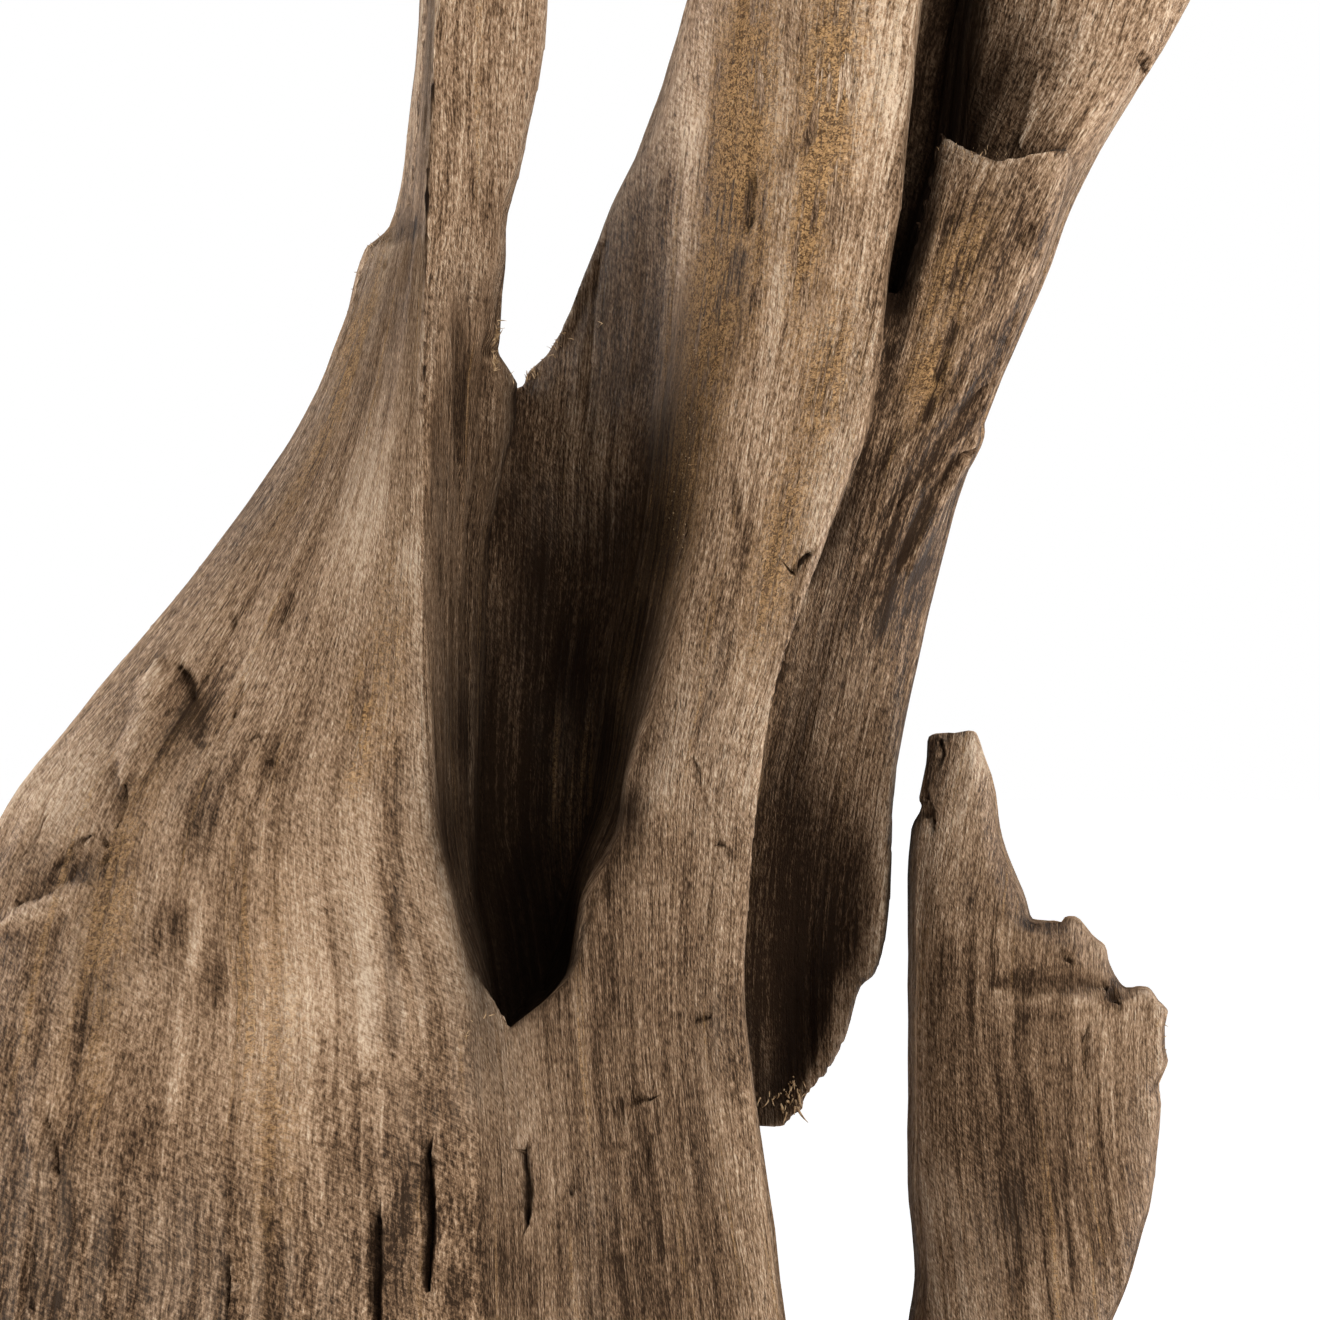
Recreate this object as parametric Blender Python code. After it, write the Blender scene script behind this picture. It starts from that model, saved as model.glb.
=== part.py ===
"""A weathered piece of driftwood: the fluted butt of an old root, standing on its sawn foot.

The wood is one grown piece. It is modelled as the limbs that fused while it grew, each one a
loft of plan outlines given at a few heights. A voxel remesh fuses the limbs, long flutes are
carved along the grain, and the foot is sawn flat at z = 0.

Lengths in the tables are millimetres: x to the right, y to the back, z up. Each outline
starts at the limb's left and runs by its front and right to its back.
"""

import math

import bmesh
import bpy
import numpy as np
from mathutils import Vector, noise

MM = 0.001
RING_STEP = 8.0  # height between two rings of a loft
ARC_STEPS = 4  # ring points between two points of an outline
ROOT_SIDES = 16
ROOT_RINGS = 14
ROOT_DEPTH_SHARE = -0.1  # how far below the ground a root runs before it is sawn
VOXEL = 4.0  # cell of the remesh that fuses the limbs
TRIANGLES = 9000  # what the fused surface is thinned to
SAW_Z = 0.0  # the sawn foot
FLUTE_WIDTH = 62.0  # long hollows along the grain
FLUTE_LENGTH = 420.0
FLUTE_DEPTH = 5.0
BACK_FLUTE_DEPTH = 11.0  # the back is hollowed more deeply
BACK_START, BACK_FULL = 45.0, 90.0
SHARP_ANGLE = math.radians(50)
WOOD_COLOUR = (0.36, 0.27, 0.19, 1.0)
WOOD_ROUGHNESS = 0.85

# The left wing: a spire at the top, a sharp front ridge, and a broad flare to the left below.
WING = {
    905: [(-51, 6), (-50, 1), (-48, -2), (-45, -3), (-42, 0), (-41, 5), (-44, 9), (-49, 9)],
    872: [(-61, 6), (-59, -5), (-54, -12), (-50, -12), (-40, -4), (-36, 6), (-44, 14), (-55, 13)],
    842: [(-66, 4), (-63, -8), (-58, -16), (-53, -16), (-40, -6), (-27, 6), (-40, 20), (-56, 16)],
    800: [(-68, 4), (-66, -8), (-61, -19), (-57, -19), (-38, -6), (-20, 10), (-36, 26), (-56, 20)],
    698: [(-74, 6), (-72, -10), (-67, -25), (-63, -25), (-44, -6), (-20, 16), (-40, 36), (-62, 26)],
    638: [(-80, 6), (-77, -10), (-70, -29), (-67, -29), (-50, -6), (-29, 22), (-46, 46), (-68, 32)],
    608: [(-87, 8), (-81, -12), (-71, -33), (-68, -33), (-54, -8), (-35, 28), (-50, 54), (-76, 38)],
    602: [(-96, 8), (-88, -14), (-71, -34), (-68, -34), (-54, -8), (-35, 28), (-50, 54), (-80, 38)],
    574: [(-104, 8), (-92, -16), (-72, -37), (-69, -37), (-57, -8), (-38, 34), (-56, 60), (-90, 42)],
    558: [(-109, 8), (-95, -18), (-72, -40), (-69, -40), (-58, -8), (-39, 40), (-60, 66), (-96, 44)],
    547: [(-113, 8), (-98, -19), (-72, -42), (-69, -42), (-59, -8), (-34, 58), (-60, 84), (-99, 45)],
    532: [(-120, 8), (-103, -22), (-73, -45), (-69, -45), (-60, -8), (-34, 58), (-62, 88), (-105, 46)],
    480: [(-154, 8), (-122, -33), (-75, -57), (-70, -57), (-63, -12), (-46, 56), (-76, 92), (-126, 52)],
    418: [(-204, 8), (-146, -48), (-76, -74), (-69, -74), (-64, -16), (-48, 60), (-90, 98), (-164, 50)],
    372: [
        (-240, 8), (-165, -60), (-75, -86), (-66, -86), (-64, -24), (-50, 60), (-100, 102),
        (-186, 52),
    ],
    338: [
        (-255, 8), (-176, -68), (-72, -95), (-59, -96), (-60, -34), (-50, 60), (-106, 104),
        (-200, 54),
    ],
    314: [
        (-263, 7), (-182, -74), (-70, -101), (-53, -102), (-56, -70), (-48, 50), (-110, 105),
        (-206, 56),
    ],
    302: [
        (-267, 6), (-186, -77), (-68, -105), (-44, -107), (-52, -84), (-48, 40), (-112, 106),
        (-210, 56),
    ],
    284: [
        (-272, 5), (-190, -80), (-72, -108), (-34, -111), (-44, -90), (-50, 20), (-114, 106),
        (-214, 56),
    ],
    250: [
        (-280, 4), (-198, -84), (-80, -114), (-20, -116), (0, -60), (-20, 40), (-118, 108),
        (-220, 58),
    ],
    170: [
        (-298, 0), (-215, -90), (-90, -124), (-20, -120), (10, -50), (-20, 60), (-124, 112),
        (-226, 58),
    ],
    100: [
        (-314, -6), (-232, -90), (-100, -126), (-20, -124), (10, -50), (-20, 60), (-128, 116),
        (-232, 56),
    ],
    -20: [(-344, -16), (-250, -88), (-118, -124), (-20, -126), (10, -50), (-20, 70), (-132, 118), (-246, 52)],
}

# The trunk: the tall column right of the hollow. Its front ends in a sharp edge on the right,
# and its upper half is the left wall of a hollow tube.
TRUNK = {
    945: [
        (149, 6), (148, 0), (150, -4), (153, -5), (157, -3), (159, 1), (159, 5), (157, 8),
        (154, 10), (151, 9),
    ],
    918: [
        (121, 16), (120, 2), (130, -8), (141, -14), (152, -13), (159, -6), (158, 2), (148, 8),
        (137, 16), (127, 22),
    ],
    880: [
        (92, 30), (90, 10), (100, -8), (114, -19), (134, -22), (152, -12), (152, -2), (134, 6),
        (116, 20), (104, 36),
    ],
    800: [
        (66, 42), (63, 14), (76, -12), (96, -30), (122, -36), (142, -24), (142, -8), (118, 4),
        (98, 24), (84, 50),
    ],
    750: [
        (50, 48), (46, 20), (62, -12), (86, -35), (114, -42), (135, -30), (136, -8), (118, 14),
        (98, 44), (74, 66),
    ],
    698: [
        (36, 58), (31, 24), (48, -12), (74, -40), (104, -47), (127, -36), (127, -8), (118, 30),
        (104, 74), (58, 84),
    ],
    655: [
        (22, 64), (18, 32), (40, -10), (70, -44), (104, -53), (123, -42), (121, -6), (116, 44),
        (96, 94), (42, 94),
    ],
    618: [
        (8, 70), (3, 46), (28, 16), (50, -22), (76, -50), (118, -48), (116, -4), (114, 54),
        (86, 104), (30, 102),
    ],
    586: [
        (-6, 74), (-8, 52), (22, 22), (46, -26), (72, -56), (112, -54), (113, -2), (112, 60),
        (80, 110), (16, 108),
    ],
    560: [
        (-20, 80), (-18, 61), (20, 24), (43, -30), (68, -60), (110, -60), (112, 0), (114, 64),
        (74, 114), (6, 112),
    ],
    547: [
        (-33, 84), (-22, 63), (18, 26), (41, -34), (66, -62), (108, -62), (111, 0), (115, 62),
        (72, 115), (2, 114),
    ],
    532: [
        (-34, 86), (-24, 64), (16, 26), (40, -38), (64, -66), (106, -64), (110, 0), (116, 60),
        (70, 116), (-2, 116),
    ],
    498: [
        (-36, 86), (-18, 64), (15, 24), (36, -44), (60, -74), (94, -74), (92, -14), (108, 56),
        (64, 120), (-8, 118),
    ],
    458: [
        (-36, 84), (-10, 62), (13, 14), (30, -54), (54, -82), (80, -86), (72, -46), (96, 50),
        (60, 122), (-12, 118),
    ],
    418: [
        (-36, 80), (-7, 56), (9, 0), (20, -62), (42, -90), (68, -95), (58, -62), (84, 46),
        (56, 122), (-14, 116),
    ],
    378: [
        (-36, 74), (-7, 44), (4, -16), (10, -72), (30, -98), (62, -101), (50, -68), (70, 42),
        (50, 120), (-16, 114),
    ],
    338: [
        (-38, 64), (-12, 20), (-8, -78), (14, -105), (42, -112), (58, -105), (46, -70), (58, 40),
        (44, 118), (-22, 112),
    ],
    314: [
        (-40, 54), (-14, 0), (-12, -92), (10, -111), (40, -116), (56, -108), (46, -70), (56, 38),
        (40, 116), (-26, 110),
    ],
    300: [
        (-42, 44), (-16, -20), (-21, -102), (6, -114), (38, -118), (56, -109), (46, -70),
        (55, 38), (38, 114), (-30, 108),
    ],
    284: [
        (-46, 30), (-24, -60), (-38, -110), (0, -118), (36, -121), (57, -111), (50, -66),
        (55, 36), (38, 114), (-34, 108),
    ],
    250: [
        (-60, 20), (-70, -40), (-60, -112), (-6, -123), (34, -125), (61, -113), (56, -60),
        (56, 32), (38, 114), (-44, 108),
    ],
    210: [
        (-70, 20), (-80, -40), (-64, -114), (-8, -125), (36, -127), (66, -113), (62, -58),
        (62, 32), (40, 114), (-54, 108),
    ],
    170: [
        (-70, 20), (-80, -40), (-64, -116), (-8, -127), (40, -127), (70, -112), (69, -55),
        (69, 34), (42, 114), (-60, 108),
    ],
    100: [
        (-70, 20), (-80, -40), (-64, -118), (-4, -126), (46, -124), (78, -102), (80, -50),
        (80, 40), (46, 114), (-66, 106),
    ],
    -20: [(-70, 20), (-80, -40), (-64, -118), (4, -122), (56, -112), (92, -92), (100, -40), (98, 44), (52, 112), (-70, 104)],
}

# The back wall of the hollow, which joins the wing to the trunk up to the notch.
WEB = {
    543: [(-46, 70), (-32, 72), (-18, 74), (-16, 92), (-34, 98), (-50, 90)],
    530: [(-54, 60), (-32, 66), (-12, 70), (-10, 94), (-34, 106), (-60, 92)],
    498: [(-62, 56), (-32, 66), (-4, 70), (0, 102), (-34, 112), (-72, 92)],
    418: [(-66, 52), (-34, 68), (0, 72), (8, 106), (-34, 116), (-86, 98)],
    338: [(-68, 44), (-36, 58), (0, 60), (10, 106), (-34, 116), (-100, 100)],
    290: [(-70, 10), (-36, 22), (0, 10), (10, 104), (-34, 114), (-104, 102)],
    266: [(-74, -70), (-36, -74), (0, -76), (10, 100), (-34, 112), (-104, 102)],
    -20: [(-90, -80), (-36, -90), (0, -90), (10, 104), (-34, 108), (-110, 104)],
}

# The right column. It tapers down to a thin flap that curls behind the trunk's front edge.
FLAP = {
    886: [(268, 25), (271, 20), (275, 18), (279, 21), (280, 25), (276, 28), (271, 28)],
    852: [(240, 24), (248, 8), (262, 1), (283, 13), (282, 28), (264, 30), (250, 34)],
    800: [(192, 26), (204, 2), (232, -10), (273, 8), (272, 28), (238, 34), (206, 42)],
    750: [(166, 42), (180, 8), (214, -14), (256, 8), (254, 36), (214, 56), (180, 66)],
    698: [(146, 58), (158, 18), (196, -14), (236, 8), (230, 44), (190, 74), (150, 88)],
    642: [(138, 56), (152, 12), (184, -18), (204, 6), (200, 48), (160, 88), (124, 96)],
    618: [(132, 54), (144, 6), (172, -20), (192, 6), (188, 46), (150, 92), (116, 96)],
    586: [(124, 48), (134, -4), (160, -22), (180, 6), (176, 44), (140, 90), (108, 96)],
    550: [(102, 20), (116, -34), (146, -28), (164, 6), (160, 42), (130, 88), (98, 96)],
    498: [(84, -4), (100, -38), (128, -30), (144, 8), (142, 42), (116, 84), (90, 90)],
    454: [(72, -16), (92, -26), (116, -18), (132, 10), (130, 32), (104, 66), (78, 70)],
    410: [(58, 0), (84, -6), (107, -2), (122, 11), (119, 27), (92, 50), (58, 56)],
    378: [(50, 18), (80, 16), (101, 8), (116, 6), (114, 20), (86, 44), (52, 48)],
    346: [(46, 28), (78, 29), (97, 18), (112, 2), (114, 10), (87, 44), (48, 46)],
    308: [(46, 32), (76, 36), (93, 24), (106, 4), (108, 12), (83, 49), (48, 48)],
    303: [(46, 32), (74, 37), (89, 26), (100, 10), (102, 18), (81, 50), (48, 48)],
    282: [(46, 34), (71, 39), (84, 30), (94, 16), (96, 23), (77, 51), (48, 50)],
    262: [(46, 36), (66, 41), (76, 35), (84, 26), (86, 31), (72, 51), (48, 50)],
    252: [(50, 38), (63, 42), (70, 39), (77, 34), (78, 38), (68, 50), (52, 50)],
    243: [(60, 41), (66, 42), (70, 41), (75, 40), (76, 42), (69, 47), (62, 47)],
}

# The back of the hollow tube between the trunk and the right column.
TUBE_BACK = {
    842: [(146, 72), (152, 68), (159, 69), (164, 73), (158, 79), (150, 78)],
    815: [(112, 58), (136, 64), (162, 62), (176, 62), (162, 82), (130, 80)],
    780: [(84, 50), (122, 62), (164, 60), (196, 48), (170, 86), (118, 86)],
    698: [(66, 62), (104, 70), (152, 66), (190, 60), (160, 100), (100, 102)],
    600: [(50, 80), (90, 80), (130, 70), (160, 70), (136, 108), (84, 116)],
    540: [(50, 84), (86, 84), (112, 70), (136, 74), (114, 104), (78, 116)],
}

# The broken layer on the right column. Its upper lip sags and stands free, with a pocket behind
# it. The third number lowers a point of the lip.
LAYER = {
    643: [
        (135, -18, 6), (140, -30, 1), (156, -38, -8), (184, -31, -1), (189, -20, -1),
        (160, -32, -7), (141, -25, 2),
    ],
    628: [
        (131, -20, 0), (138, -32, 0), (157, -40, 0), (184, -31, 0), (188, -14, 0), (159, -34, 0),
        (139, -26, 0),
    ],
    600: [
        (124, -22, 0), (133, -38, 0), (152, -42, 0), (178, -28, 0), (180, -6, 0), (152, -32, 0),
        (134, -28, 0),
    ],
    570: [
        (115, -28, 0), (125, -44, 0), (146, -42, 0), (168, -24, 0), (170, 0, 0), (144, -16, 0),
        (124, -10, 0),
    ],
    540: [
        (102, -20, 0), (114, -44, 0), (138, -38, 0), (158, -18, 0), (156, 0, 0), (134, 0, 0),
        (114, 0, 0),
    ],
    500: [
        (90, -10, 0), (104, -36, 0), (128, -30, 0), (142, -10, 0), (138, 4, 0), (120, 4, 0),
        (100, 4, 0),
    ],
}

# The broken root on the right, which rises free of the trunk from the foot.
SPIKE = {
    405: [(138, 6), (141, 0), (146, -1), (150, 4), (148, 11), (142, 12)],
    402: [(134, 5), (138, -6), (147, -7), (153, 4), (149, 16), (138, 16)],
    382: [(130, 3), (137, -15), (152, -14), (160, 4), (152, 22), (136, 22)],
    366: [(126, 2), (136, -20), (154, -18), (162, 4), (153, 26), (134, 26)],
    345: [(125, 2), (136, -24), (158, -22), (168, 4), (157, 30), (134, 30)],
    333: [(125, 2), (137, -26), (162, -24), (175, 4), (162, 32), (135, 32)],
    328: [(125, 2), (138, -27), (170, -26), (191, 2), (172, 33), (136, 34)],
    318: [(125, 2), (140, -28), (178, -28), (203, 2), (180, 34), (138, 35)],
    306: [(125, 2), (141, -29), (182, -28), (209, 2), (184, 35), (140, 36)],
    298: [(125, 2), (142, -30), (190, -28), (225, 0), (192, 36), (142, 38)],
    286: [(125, 2), (142, -30), (192, -29), (229, 0), (194, 37), (142, 38)],
    226: [(125, 2), (142, -32), (190, -30), (226, 2), (192, 40), (142, 42)],
    186: [(128, 2), (144, -33), (184, -32), (216, 4), (188, 42), (144, 44)],
    160: [(124, 2), (142, -34), (178, -34), (205, 5), (182, 44), (142, 46)],
    120: [(112, 4), (138, -40), (176, -38), (196, 6), (178, 50), (136, 52)],
    -20: [(90, 4), (134, -62), (190, -52), (222, 6), (192, 56), (128, 70)],
}

# The low root that joins the spike to the trunk.
SADDLE = {
    118: [(66, 4), (98, -14), (134, -20), (150, 6), (134, 30), (98, 26)],
    98: [(50, 4), (98, -36), (140, -44), (170, 6), (140, 50), (98, 50)],
    -20: [(40, 4), (100, -80), (160, -64), (206, 6), (160, 64), (100, 84)],
}

# Roots that swell out of the foot: where each one leaves the wood, where it meets the ground,
# how wide it is there, and how high it starts.
ROOTS = [
    ((-196, -30), (-250, -104), 62, 330),
    ((-118, -66), (-142, -120), 52, 250),
    ((-34, -70), (-48, -128), 66, 240),
    ((34, -66), (70, -110), 50, 190),
    ((150, 2), (198, -28), 44, 150),
    ((96, 14), (116, 74), 46, 120),
    ((16, 58), (24, 118), 60, 420),
    ((-84, 62), (-96, 112), 50, 330),
    ((-182, 14), (-222, 62), 56, 400),
    ((-262, 0), (-316, -14), 40, 240),
]

# Where the grain runs: x of the wing's left edge, the front ridge, the trunk's crest and its right edge.
GRAIN_REST = [-180, -71, 66, 131]
GRAIN = {
    945: [-82, -46, 152, 300],
    698: [-74, -66, 104, 236],
    618: [-88, -69, 96, 192],
    532: [-120, -71, 84, 160],
    448: [-180, -71, 66, 131],
    372: [-240, -68, 50, 116],
    298: [-268, -52, 46, 108],
    170: [-298, -45, 60, 118],
    0: [-345, -50, 100, 150],
}


def monotone(levels, rows, at):
    """Rows of numbers given at rising levels, read at other levels on a curve that never overshoots."""
    levels, rows, at = np.asarray(levels, float), np.asarray(rows, float), np.asarray(at, float)
    width = np.diff(levels)[:, None]
    slope = np.diff(rows, axis=0) / width
    tangent = np.empty_like(rows)
    tangent[0], tangent[-1] = slope[0], slope[-1]
    before, after = slope[:-1], slope[1:]
    lean_a, lean_b = 2 * width[1:] + width[:-1], width[1:] + 2 * width[:-1]
    same_way = before * after > 0
    safe_a, safe_b = np.where(same_way, before, 1), np.where(same_way, after, 1)
    mean = (lean_a + lean_b) / (lean_a / safe_a + lean_b / safe_b)
    tangent[1:-1] = np.where(same_way, mean, 0)
    i = np.clip(np.searchsorted(levels, at) - 1, 0, len(levels) - 2)
    h = width[i]
    t = ((at - levels[i])[:, None]) / h
    return (
        rows[i] * (1 + 2 * t) * (1 - t) ** 2
        + tangent[i] * h * t * (1 - t) ** 2
        + rows[i + 1] * t * t * (3 - 2 * t)
        + tangent[i + 1] * h * t * t * (t - 1)
    )


def rounded(outline):
    """A closed outline with a smooth arc through its points."""
    before, after, beyond = (np.roll(outline, n, axis=0) for n in (1, -1, -2))
    arc = []
    for t in np.arange(ARC_STEPS) / ARC_STEPS:
        arc.append(
            0.5 * (2 * outline + (after - before) * t
                   + (2 * before - 5 * outline + 4 * after - beyond) * t**2
                   + (3 * outline - before - 3 * after + beyond) * t**3)
        )
    return np.stack(arc, axis=1).reshape(-1, outline.shape[1])


def add_tube(bm, rings):
    """A closed tube through rings of points in millimetres, from the lowest to the highest."""
    loops = []
    for ring in rings:
        verts = [bm.verts.new(Vector(point) * MM) for point in ring]
        loops.append([bm.edges.new((verts[i - 1], verts[i])) for i in range(len(verts))])
    for lower, upper in zip(loops, loops[1:]):
        bmesh.ops.bridge_loops(bm, edges=lower + upper)
    for end in (loops[0], loops[-1]):
        bmesh.ops.contextual_create(bm, geom=end)


def add_limb(bm, table):
    """Lofts one limb into bm from its table of outlines."""
    levels = sorted(table)
    rows = [[(*point, 0)[:3] for point in table[z]] for z in levels]
    rows = [[(x, y, z + lift) for x, y, lift in row] for z, row in zip(levels, rows)]
    count = max(2, round((levels[-1] - levels[0]) / RING_STEP))
    heights = np.union1d(np.linspace(levels[0], levels[-1], count), levels)
    flat = np.array(rows, float).reshape(len(levels), -1)
    outlines = monotone(levels, flat, heights).reshape(len(heights), -1, 3)
    add_tube(bm, [rounded(outline) for outline in outlines])


def add_root(bm, start, foot, width, top):
    """One root: a slim oval where it leaves the wood, spreading as it runs down to the ground."""
    start, foot = Vector(start), Vector(foot)
    out = (foot - start).normalized()
    side = Vector((-out.y, out.x))
    turns = [2 * math.pi * k / ROOT_SIDES for k in range(ROOT_SIDES)]
    rings = []
    for share in map(float, np.linspace(ROOT_DEPTH_SHARE, 1, ROOT_RINGS)):
        centre = start.lerp(foot, (1 - share) ** 2)
        radius = width * (0.35 + 0.65 * (1 - share))
        ring = [centre + radius * (math.cos(a) * out + 0.9 * math.sin(a) * side) for a in turns]
        rings.append([(x, y, top * share) for x, y in ring])
    add_tube(bm, rings)


def grain_of(points):
    """Points in millimetres, unrolled so that the grain runs straight up."""
    levels = sorted(GRAIN)
    across = monotone(levels, [GRAIN[z] for z in levels], np.clip(points[:, 2], levels[0], levels[-1]))
    unrolled = points.copy()
    left = points[:, 0] - across[:, 0] + GRAIN_REST[0]
    right = points[:, 0] - across[:, -1] + GRAIN_REST[-1]
    unrolled[:, 0] = np.where(points[:, 0] < across[:, 0], left, right)
    for k in range(len(GRAIN_REST) - 1):
        here = (points[:, 0] >= across[:, k]) & (points[:, 0] < across[:, k + 1])
        share = (points[:, 0] - across[:, k]) / (across[:, k + 1] - across[:, k])
        on = GRAIN_REST[k] + share * (GRAIN_REST[k + 1] - GRAIN_REST[k])
        unrolled[here, 0] = on[here]
    return unrolled


def carve_flutes(mesh):
    """Sinks long hollows into the surface, along the grain."""
    count = len(mesh.vertices)
    points, normals = np.empty(count * 3), np.empty(count * 3)
    mesh.vertices.foreach_get("co", points)
    mesh.vertices.foreach_get("normal", normals)
    points = points.reshape(-1, 3) / MM
    scale = np.array([1 / FLUTE_WIDTH, 1 / FLUTE_WIDTH, 1 / FLUTE_LENGTH])
    depth = np.array([noise.noise(Vector(g)) for g in grain_of(points) * scale])
    depth *= np.interp(points[:, 1], [BACK_START, BACK_FULL], [FLUTE_DEPTH, BACK_FLUTE_DEPTH])
    moved = points + normals.reshape(-1, 3) * depth[:, None]
    mesh.vertices.foreach_set("co", (moved * MM).ravel())


def evaluated(obj):
    """A new mesh of the object with its modifiers applied."""
    graph = bpy.context.evaluated_depsgraph_get()
    return bpy.data.meshes.new_from_object(obj.evaluated_get(graph))


def replace_mesh(obj, mesh):
    old = obj.data
    obj.modifiers.clear()
    obj.data = mesh
    bpy.data.meshes.remove(old)


def keep_largest_island(bm):
    """Deletes specks that aren't joined to the main body."""
    left, islands = set(bm.verts), []
    while left:
        island, front = set(), [next(iter(left))]
        while front:
            vert = front.pop()
            if vert in island:
                continue
            island.add(vert)
            front.extend(e.other_vert(vert) for e in vert.link_edges)
        islands.append(island)
        left -= island
    islands.sort(key=len)
    specks = [v for island in islands[:-1] for v in island]
    bmesh.ops.delete(bm, geom=specks, context="VERTS")


def saw_foot(mesh):
    """Cuts the wood flat at the foot, closes the cut and makes every face a triangle."""
    bm = bmesh.new()
    bm.from_mesh(mesh)
    keep_largest_island(bm)
    everything = bm.verts[:] + bm.edges[:] + bm.faces[:]
    cut = bmesh.ops.bisect_plane(
        bm, geom=everything, plane_co=(0, 0, SAW_Z), plane_no=(0, 0, 1), clear_inner=True, dist=1e-5
    )
    rim = [e for e in cut["geom_cut"] if isinstance(e, bmesh.types.BMEdge)]
    bmesh.ops.triangle_fill(bm, edges=rim, use_beauty=True, normal=(0, 0, -1))
    bmesh.ops.triangulate(bm, faces=bm.faces[:])
    bmesh.ops.recalc_face_normals(bm, faces=bm.faces[:])
    bm.to_mesh(mesh)
    bm.free()


def wood():
    material = bpy.data.materials.new("weathered_wood")
    material.use_nodes = True
    shader = material.node_tree.nodes["Principled BSDF"]
    shader.inputs["Base Color"].default_value = WOOD_COLOUR
    shader.inputs["Roughness"].default_value = WOOD_ROUGHNESS
    shader.inputs["Metallic"].default_value = 0.0
    return material


def main():
    for obj in list(bpy.data.objects):
        bpy.data.objects.remove(obj)
    bm = bmesh.new()
    for table in (WING, TRUNK, WEB, FLAP, TUBE_BACK, LAYER, SPIKE, SADDLE):
        add_limb(bm, table)
    for root in ROOTS:
        add_root(bm, *root)
    bmesh.ops.recalc_face_normals(bm, faces=bm.faces[:])
    mesh = bpy.data.meshes.new("driftwood")
    bm.to_mesh(mesh)
    bm.free()
    driftwood = bpy.data.objects.new("driftwood", mesh)
    bpy.context.scene.collection.objects.link(driftwood)

    fuse = driftwood.modifiers.new("fuse", "REMESH")
    fuse.mode = "VOXEL"
    fuse.voxel_size = VOXEL * MM
    replace_mesh(driftwood, evaluated(driftwood))
    carve_flutes(driftwood.data)

    soften = driftwood.modifiers.new("soften", "SMOOTH")
    soften.iterations = 2
    replace_mesh(driftwood, evaluated(driftwood))
    driftwood.data.calc_loop_triangles()
    thin = driftwood.modifiers.new("thin", "DECIMATE")
    thin.ratio = TRIANGLES / len(driftwood.data.loop_triangles)
    replace_mesh(driftwood, evaluated(driftwood))
    saw_foot(driftwood.data)
    driftwood.data.materials.clear()
    driftwood.data.materials.append(wood())
    driftwood.data.shade_smooth()
    driftwood.data.set_sharp_from_angle(angle=SHARP_ANGLE)


main()
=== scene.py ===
"""A weathered piece of driftwood, standing on its sawn foot on a pale studio floor."""

import math

import bmesh
import bpy
import numpy as np
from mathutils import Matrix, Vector, noise
from mathutils.bvhtree import BVHTree


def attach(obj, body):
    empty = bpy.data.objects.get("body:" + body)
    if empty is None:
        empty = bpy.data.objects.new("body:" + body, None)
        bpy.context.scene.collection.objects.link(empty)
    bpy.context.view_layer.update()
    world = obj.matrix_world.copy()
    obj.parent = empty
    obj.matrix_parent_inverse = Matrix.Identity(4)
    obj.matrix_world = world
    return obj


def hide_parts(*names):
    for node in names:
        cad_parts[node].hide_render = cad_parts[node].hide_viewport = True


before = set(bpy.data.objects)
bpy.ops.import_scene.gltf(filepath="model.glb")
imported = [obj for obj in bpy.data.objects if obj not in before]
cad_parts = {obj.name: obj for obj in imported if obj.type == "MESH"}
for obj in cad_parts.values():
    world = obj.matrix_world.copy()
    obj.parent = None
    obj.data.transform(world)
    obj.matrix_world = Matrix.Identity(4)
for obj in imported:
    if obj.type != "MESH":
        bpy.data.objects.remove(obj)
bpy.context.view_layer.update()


# The wood
#
# The fluted butt of an old root, grown as one piece: a wing with a spire, a trunk, a right column
# with a broken layer, and a broken root. Rot hollowed it, water and wind bared the grain, and a
# saw cut the foot flat. Lengths are millimetres, and an outline runs left, front, right, back.
MM = 0.001
RING_STEP = 8.0  # height between two rings of a loft
ARC_STEPS = 4  # ring points between two points of an outline
ROOT_SIDES = 16
ROOT_RINGS = 14
ROOT_DEPTH_SHARE = -0.1  # how far below the ground a root runs before it is sawn
VOXEL = 2.4  # cell of the remesh that fuses the limbs
FLUTE_WIDTH = 62.0
FLUTE_LENGTH = 420.0
FLUTE_DEPTH = 5.0
BACK_FLUTE_DEPTH = 11.0  # the back is hollowed more deeply
BACK_START, BACK_FULL = 45.0, 90.0

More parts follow.
